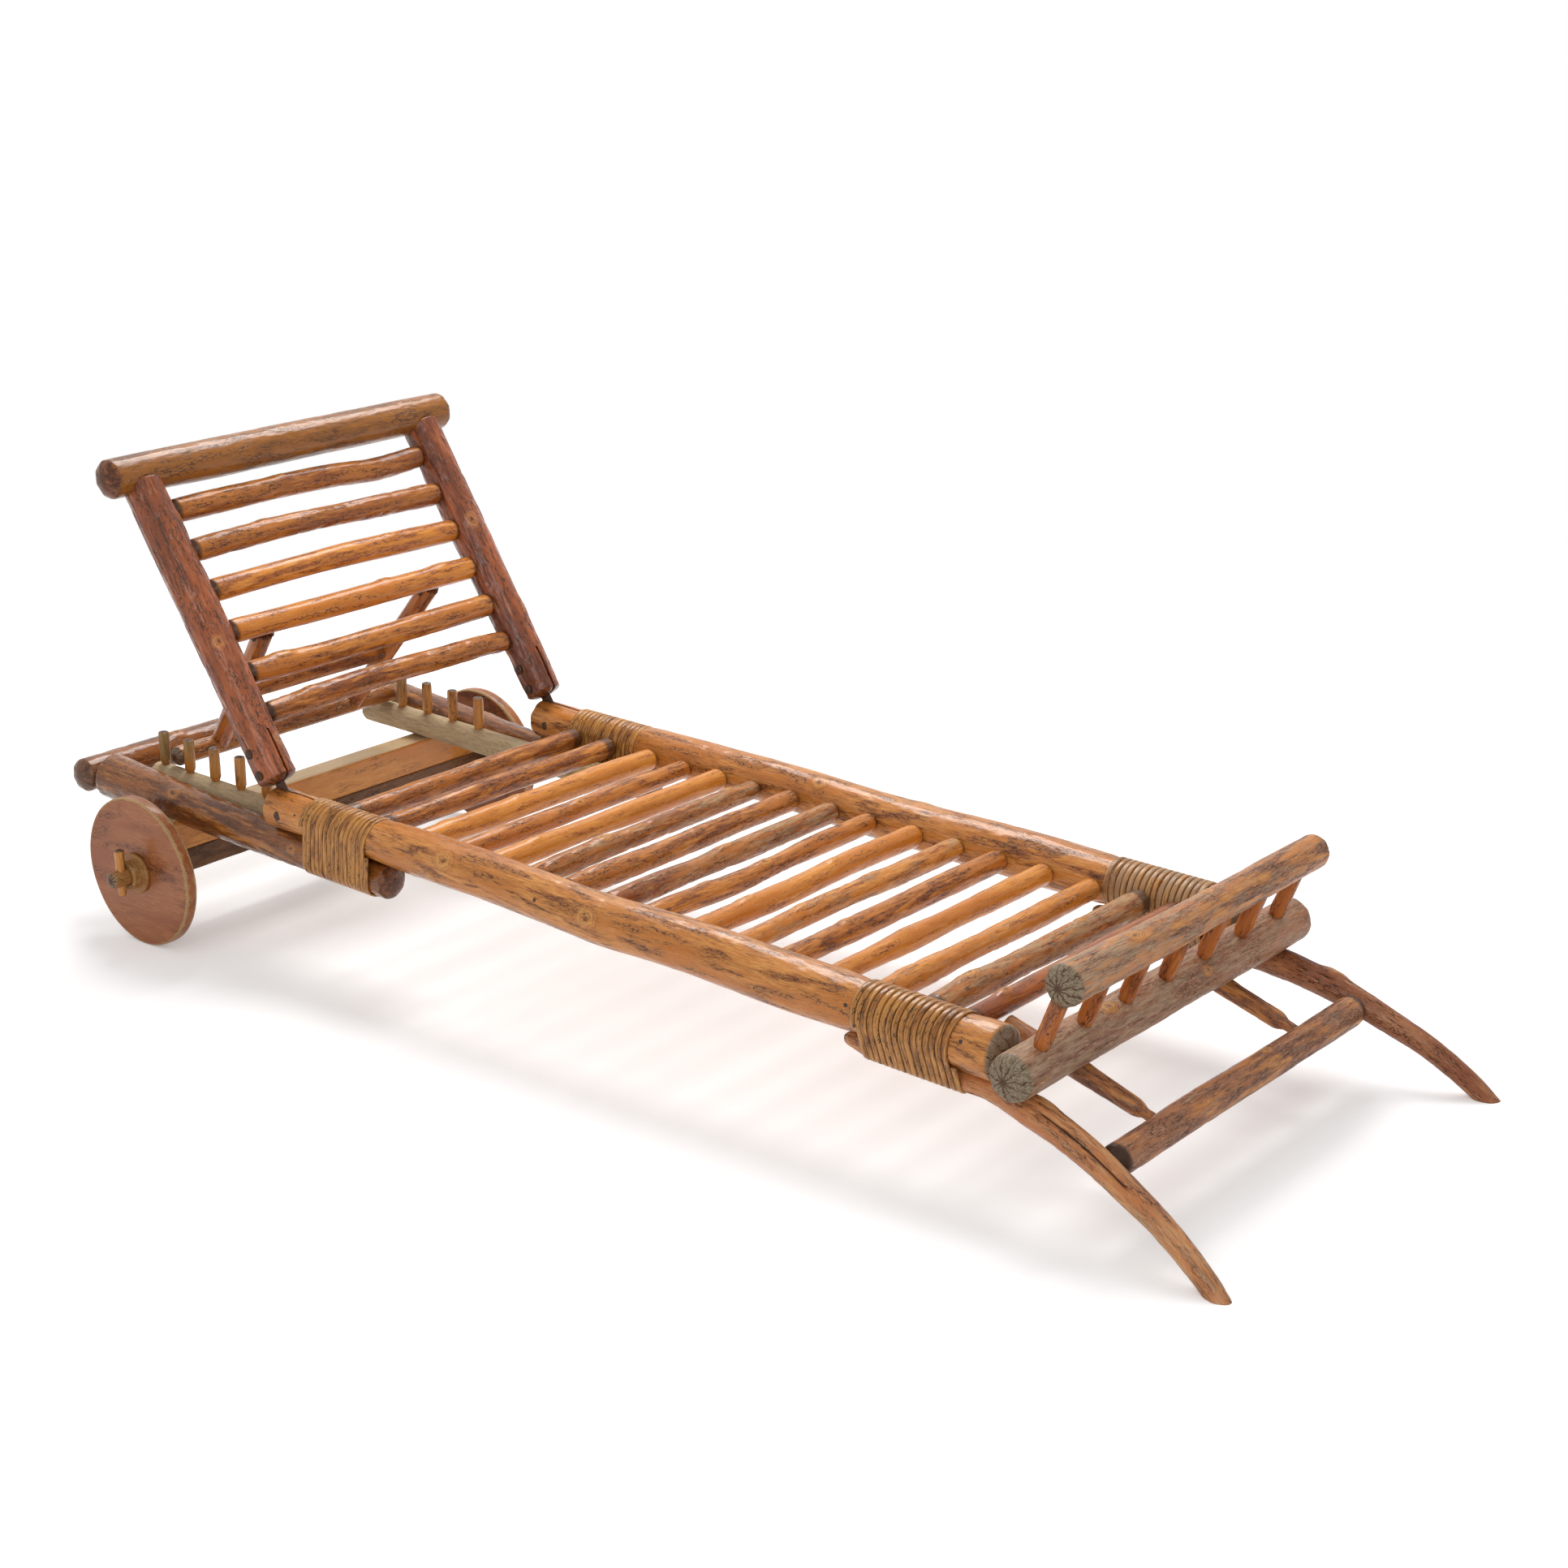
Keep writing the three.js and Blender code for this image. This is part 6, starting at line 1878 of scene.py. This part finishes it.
@dataclass
class Lashings:
    """The four cane windings, each one strand laid loop beside loop, and their nails.

    A nail has its place along the deck, its degrees up the rail's side, and how far it stands out.
    """

    workshop: Workshop
    deck: SeatDeck
    head: HeadStand
    foot: FootStand
    thickness: float = 3.0
    width: float = 9.0
    loops: int = 16
    upper_steps: int = 18
    run_steps: int = 5
    lower_steps: int = 12
    head_zone: tuple[float, float] = (47.0, 204.0)
    head_lean: float = 13.0
    gap: float = 0.3
    loop_wander: float = 0.45
    loop_tilt: float = 0.8
    nails: tuple[tuple[float, float, float], ...] = (
        (40, 20, 0), (214, 35, 0), (1124, 20, 0), (1310, 25, 1), (560, 15, 2.8),
    )

    def loop_places(self, along: float, drop: float, lower_radius: float) -> np.ndarray:
        """Gives one loop's centre line across the two poles.

        Args:
            along: Where the loop lies along the deck.
            drop: How far the lower pole's axis is below the upper one's.
            lower_radius: The lower pole's radius.

        Returns:
            Outward, upward and facing-angle rows, from the outer side over the top, down and back.
        """
        upper_radius = self.deck.rail_radius(along)
        lift = self.gap + self.thickness / 2
        taper = math.asin((upper_radius - lower_radius) / drop)
        over = np.linspace(-taper, math.pi + taper, self.upper_steps)
        under = np.linspace(math.pi + taper, 2 * math.pi - taper, self.lower_steps)
        upper, lower = upper_radius + lift, lower_radius + lift
        top = np.column_stack([upper * np.cos(over), upper * np.sin(over), over])
        low = np.column_stack([lower * np.cos(under), lower * np.sin(under) - drop, under])
        down = np.linspace(top[-1], low[0], self.run_steps)[1:-1]
        first_again = top[0] + np.array([0, 0, 2 * math.pi])
        back_up = np.linspace(low[-1], first_again, self.run_steps)[1:-1]
        return np.vstack([top, down, low, back_up])

    def strand(self, sign: float, zone: tuple[float, float], lean: float, seed: int) -> Shape:
        """Builds one winding.

        Args:
            sign: Which side of the lounger.
            zone: Where the winding starts and ends along the deck.
            lean: How much further along the loops lie at their tops.
            seed: Which small wanderings.

        Returns:
            The strand's shape.
        """
        at_head = zone == self.head_zone
        random = np.random.default_rng(seed)
        pitch = (zone[1] - zone[0] - self.width) / self.loops
        shifts = random.uniform(-self.loop_wander, self.loop_wander, self.loops + 2)
        tilts = random.uniform(-self.loop_tilt, self.loop_tilt, self.loops + 2)
        rows = []
        for loop in range(self.loops):
            middle = zone[0] + self.width / 2 + pitch * (loop + 0.5)
            drop = self.head.drop_at(middle) if at_head else self.foot.leg_drop(middle)
            lower = self.head.radius_at(self.head.rail_share(middle)) if at_head else self.foot.leg_radius
            places = self.loop_places(middle, drop, lower)
            share = np.arange(len(places)) / len(places)
            along = zone[0] + self.width / 2 + pitch * (loop + share)
            along = along + (1 - share) * shifts[loop] + share * shifts[loop + 1]
            height = (places[:, 1] + drop / 2) / (drop + 30)
            tilt = lean * (np.clip(height, -0.6, 0.6) + 0.1) + tilts[loop] * np.sin(2 * math.pi * share)
            rows.append(np.column_stack([along + tilt, places]))
        line = np.vstack(rows)
        points, grain = [], []
        crown = np.array([-1.0, -0.86, -0.5, 0.0, 0.5, 0.86, 1.0, 0.9, 0.0, -0.9])
        deep = np.array([-0.5, 0.6, 0.93, 1.0, 0.93, 0.6, -0.5, -1.0, -1.0, -1.0])
        gone = 0.0
        for i, (along, out, up, angle) in enumerate(line):
            if i:
                gone += math.hypot(out - line[i - 1][1], up - line[i - 1][2])
            for across, depth in zip(crown, deep):
                push = depth * self.thickness / 2
                y = sign * (self.deck.rail_y + out + push * math.cos(angle))
                points.append(DECK.at(along + across * self.width / 2, y, up + push * math.sin(angle)))
                grain.append((across * self.width / 2 * MM, depth * MM, gone * MM + seed * SEED_STEP))
        count, size = len(line), len(crown)
        faces = [
            (i * size + j, i * size + (j + 1) % size, (i + 1) * size + (j + 1) % size, (i + 1) * size + j)
            for i in range(count - 1)
            for j in range(size)
        ]
        faces += [tuple(range(size))[::-1], tuple((count - 1) * size + j for j in range(size))]
        if sign > 0:
            faces = [face[::-1] for face in faces]
        points, grain = np.array(points), np.array(grain)
        # Painted shade along each strand's edges, where it lies beside the next loop.
        edge = np.tile(np.clip(np.abs(crown) * 1.1 - 0.35, 0, 1) * 0.5, count)
        weather = np.full(len(points), 0.05 if at_head else 0.2 if sign < 0 else 0.5)
        traits = np.column_stack([np.full(len(points), 0.45), weather, np.zeros(len(points))])
        marks = np.column_stack([np.zeros(len(points)), np.zeros(len(points)), edge])
        return Shape(points, faces, grain, traits, marks, [0] * len(faces))

    def build(self) -> None:
        """Builds the windings, and the nails that pin their ends."""
        rows = (("head_lashing", self.head_zone, self.head_lean), ("foot_lashing", self.foot.lashed, 0.0))
        for kind, (node, zone, lean) in enumerate(rows):
            for name, sign in SIDES:
                seed = 80 + 2 * kind + int(sign > 0)
                shape = self.strand(sign, zone, lean, seed)
                winding = f"{node}_{name}"
                self.workshop.fit(f"{winding}_cane", shape, (Stock.CANE,), "frame", "cane", (winding,))
        heads = []
        for name, sign in SIDES:
            out = np.array([0.0, sign, 0.0])
            for along, turn, extra in self.nails:
                radius = self.deck.rail_radius(along) - 0.4 + extra
                lift = math.radians(turn)
                y, up = sign * (self.deck.rail_y + radius * math.cos(lift)), radius * math.sin(lift)
                facing = out * math.cos(lift) + np.array([0, 0, math.sin(lift)])
                heads.append(nail_head(DECK.at(along, y, up), facing, 3.4, 1.4))
            end = self.head.front_end
            face = DECK.at(end - 0.6, sign * self.deck.rail_y, 4 - self.head.drop_at(end))
            heads.append(nail_head(face, np.array([1.0, 0, 0]), 3.6, 1.4))
        self.workshop.fit("lashing_nails", Shape.joined(heads), (Stock.STEEL,), "frame", "steel")


@dataclass
class Studio:
    """A white sweep under large soft lamps, and the camera at the picture's place."""

    azimuth: float = 40.03
    elevation: float = 20.83
    roll: float = -1.27
    place: tuple[float, float, float] = (3157.6, -2859.8, 1585.6)
    focal_share: float = 3332.4 / 1932
    middle: tuple[float, float] = (972.4, 1128.0)
    picture: float = 1932.0
    sensor: float = 36.0
    floor_size: float = 30.0
    world_level: float = 0.55
    key_watts: float = 115.0
    fill_watts: float = 30.0
    floor_glow: float = 0.26
    floor_fade: tuple[float, float] = (2.0, 3.4)
    # Real paper has a tooth of some tenths of a millimetre, which wouldn't show.
    tooth: float = 1000 / 240

    def build_camera(self) -> None:
        """Places the camera."""
        a, e, r = (math.radians(v) for v in (self.azimuth, self.elevation, self.roll))
        ahead = np.array([-math.sin(a) * math.cos(e), math.cos(a) * math.cos(e), -math.sin(e)])
        right = np.array([math.cos(a), math.sin(a), 0])
        up = np.cross(right, ahead)
        turned_right = right * math.cos(r) + up * math.sin(r)
        turned_up = up * math.cos(r) - right * math.sin(r)
        data = bpy.data.cameras.new("camera")
        data.sensor_width, data.lens = self.sensor, self.sensor * self.focal_share
        data.shift_x = (self.picture / 2 - self.middle[0]) / self.picture
        data.shift_y = (self.middle[1] - self.picture / 2) / self.picture
        data.dof.use_dof = False
        camera = bpy.data.objects.new("camera", data)
        turn = Matrix([turned_right, turned_up, -ahead]).transposed().to_4x4()
        position = Vector(self.place) * MM + Vector((HINGE[0], 0, 0))
        camera.matrix_world = Matrix.Translation(position) @ turn
        bpy.context.scene.collection.objects.link(camera)
        bpy.context.scene.camera = camera

    def build_lamps(self) -> None:
        """Hangs the large overhead lamp and a weaker one beside the camera."""
        for name, watts, size, place in (
            ("key", self.key_watts, 2.2, (-1.3, 1.4, 3.4)),
            ("fill", self.fill_watts, 2.4, (2.2, -3.2, 2.4)),
        ):
            data = bpy.data.lights.new(name, "AREA")
            data.energy, data.size, data.shape = watts, size, "DISK"
            lamp = bpy.data.objects.new(name, data)
            lamp.location = place
            lamp.rotation_euler = (Vector((0, 0, 0.3)) - Vector(place)).to_track_quat("-Z", "Y").to_euler()
            bpy.context.scene.collection.objects.link(lamp)

    def build_floor(self) -> None:
        """Lays the white paper floor."""
        half = self.floor_size / 2
        mesh = bpy.data.meshes.new("floor")
        corners = [(-half, -half, 0), (half, -half, 0), (half, half, 0), (-half, half, 0)]
        mesh.from_pydata(corners, [], [(0, 1, 2, 3)])
        floor = bpy.data.objects.new("floor", mesh)
        bpy.context.scene.collection.objects.link(floor)
        material = new_material("white seamless paper", (
            ("place", Step.OWN_PLACE, {}),
            ("tooth", Step.NOISE, {"Vector": "place", "Scale": 1 / (self.tooth * MM), "Detail": 3.0}),
            ("bump", Step.BUMP, {"Height": "tooth", "Strength": 0.05, "Distance": 0.4 * MM}),
            ("paper", Step.PAPER, {"Normal": "bump", "Color": linear("f9f9f9")}),
            *SEEN_ROWS,
            ("level", Step.SPREAD, {0: "seen", "To Max": self.floor_glow}),
            ("glow", Step.GLOW, {"Strength": "level"}),
            ("lit", Step.BOTH, {0: "paper", 1: "glow"}),
            ("white", Step.GLOW, {"Strength": 1.0}),
            ("distance", Step.LENGTH, {0: "place"}),
            ("far", Step.RAMP, {0: "distance", 1: self.floor_fade[0], 2: self.floor_fade[1]}),
            ("sweep", Step.EITHER, {0: "far", 1: "lit", 2: "white"}),
            ("output", Step.OUTPUT, {"Surface": "sweep"}),
        ))
        mesh.materials.append(material)

    def build_world(self) -> None:
        """Sets soft light all round, with a white background where the camera sees past the floor."""
        world = bpy.data.worlds.new("studio")
        bpy.context.scene.world = world
        world.use_nodes = True
        world.node_tree.nodes.clear()
        add_rows(world.node_tree, (
            *SEEN_ROWS,
            ("level", Step.SPREAD, {0: "seen", "To Min": self.world_level, "To Max": 1.0}),
            ("light", Step.SKY, {"Strength": "level", "Color": linear("ffffff")}),
            ("output", Step.WORLD_OUTPUT, {"Surface": "light"}),
        ))

    def build(self) -> None:
        """Builds the whole studio."""
        bpy.context.scene.view_settings.view_transform = "Standard"
        self.build_camera()
        self.build_lamps()
        self.build_floor()
        self.build_world()


def write_sizes() -> None:
    """Updates the view layer.
    """
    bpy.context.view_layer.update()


def main() -> None:
    """Builds the studio and the lounger."""
    logging.basicConfig(level=logging.INFO, format="%(name)s: %(message)s")
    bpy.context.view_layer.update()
    Studio().build()
    workshop = Workshop()
    deck = SeatDeck(workshop)
    head = HeadStand(workshop, deck)
    foot = FootStand(workshop, deck)
    deck.build()
    head.build()
    WheelSet(workshop, head).build()
    foot.build()
    BackRest(workshop, deck).build()
    BackProp(workshop, head).build()
    Lashings(workshop, deck, head, foot).build()
    write_sizes()


if __name__ == "__main__":
    main()
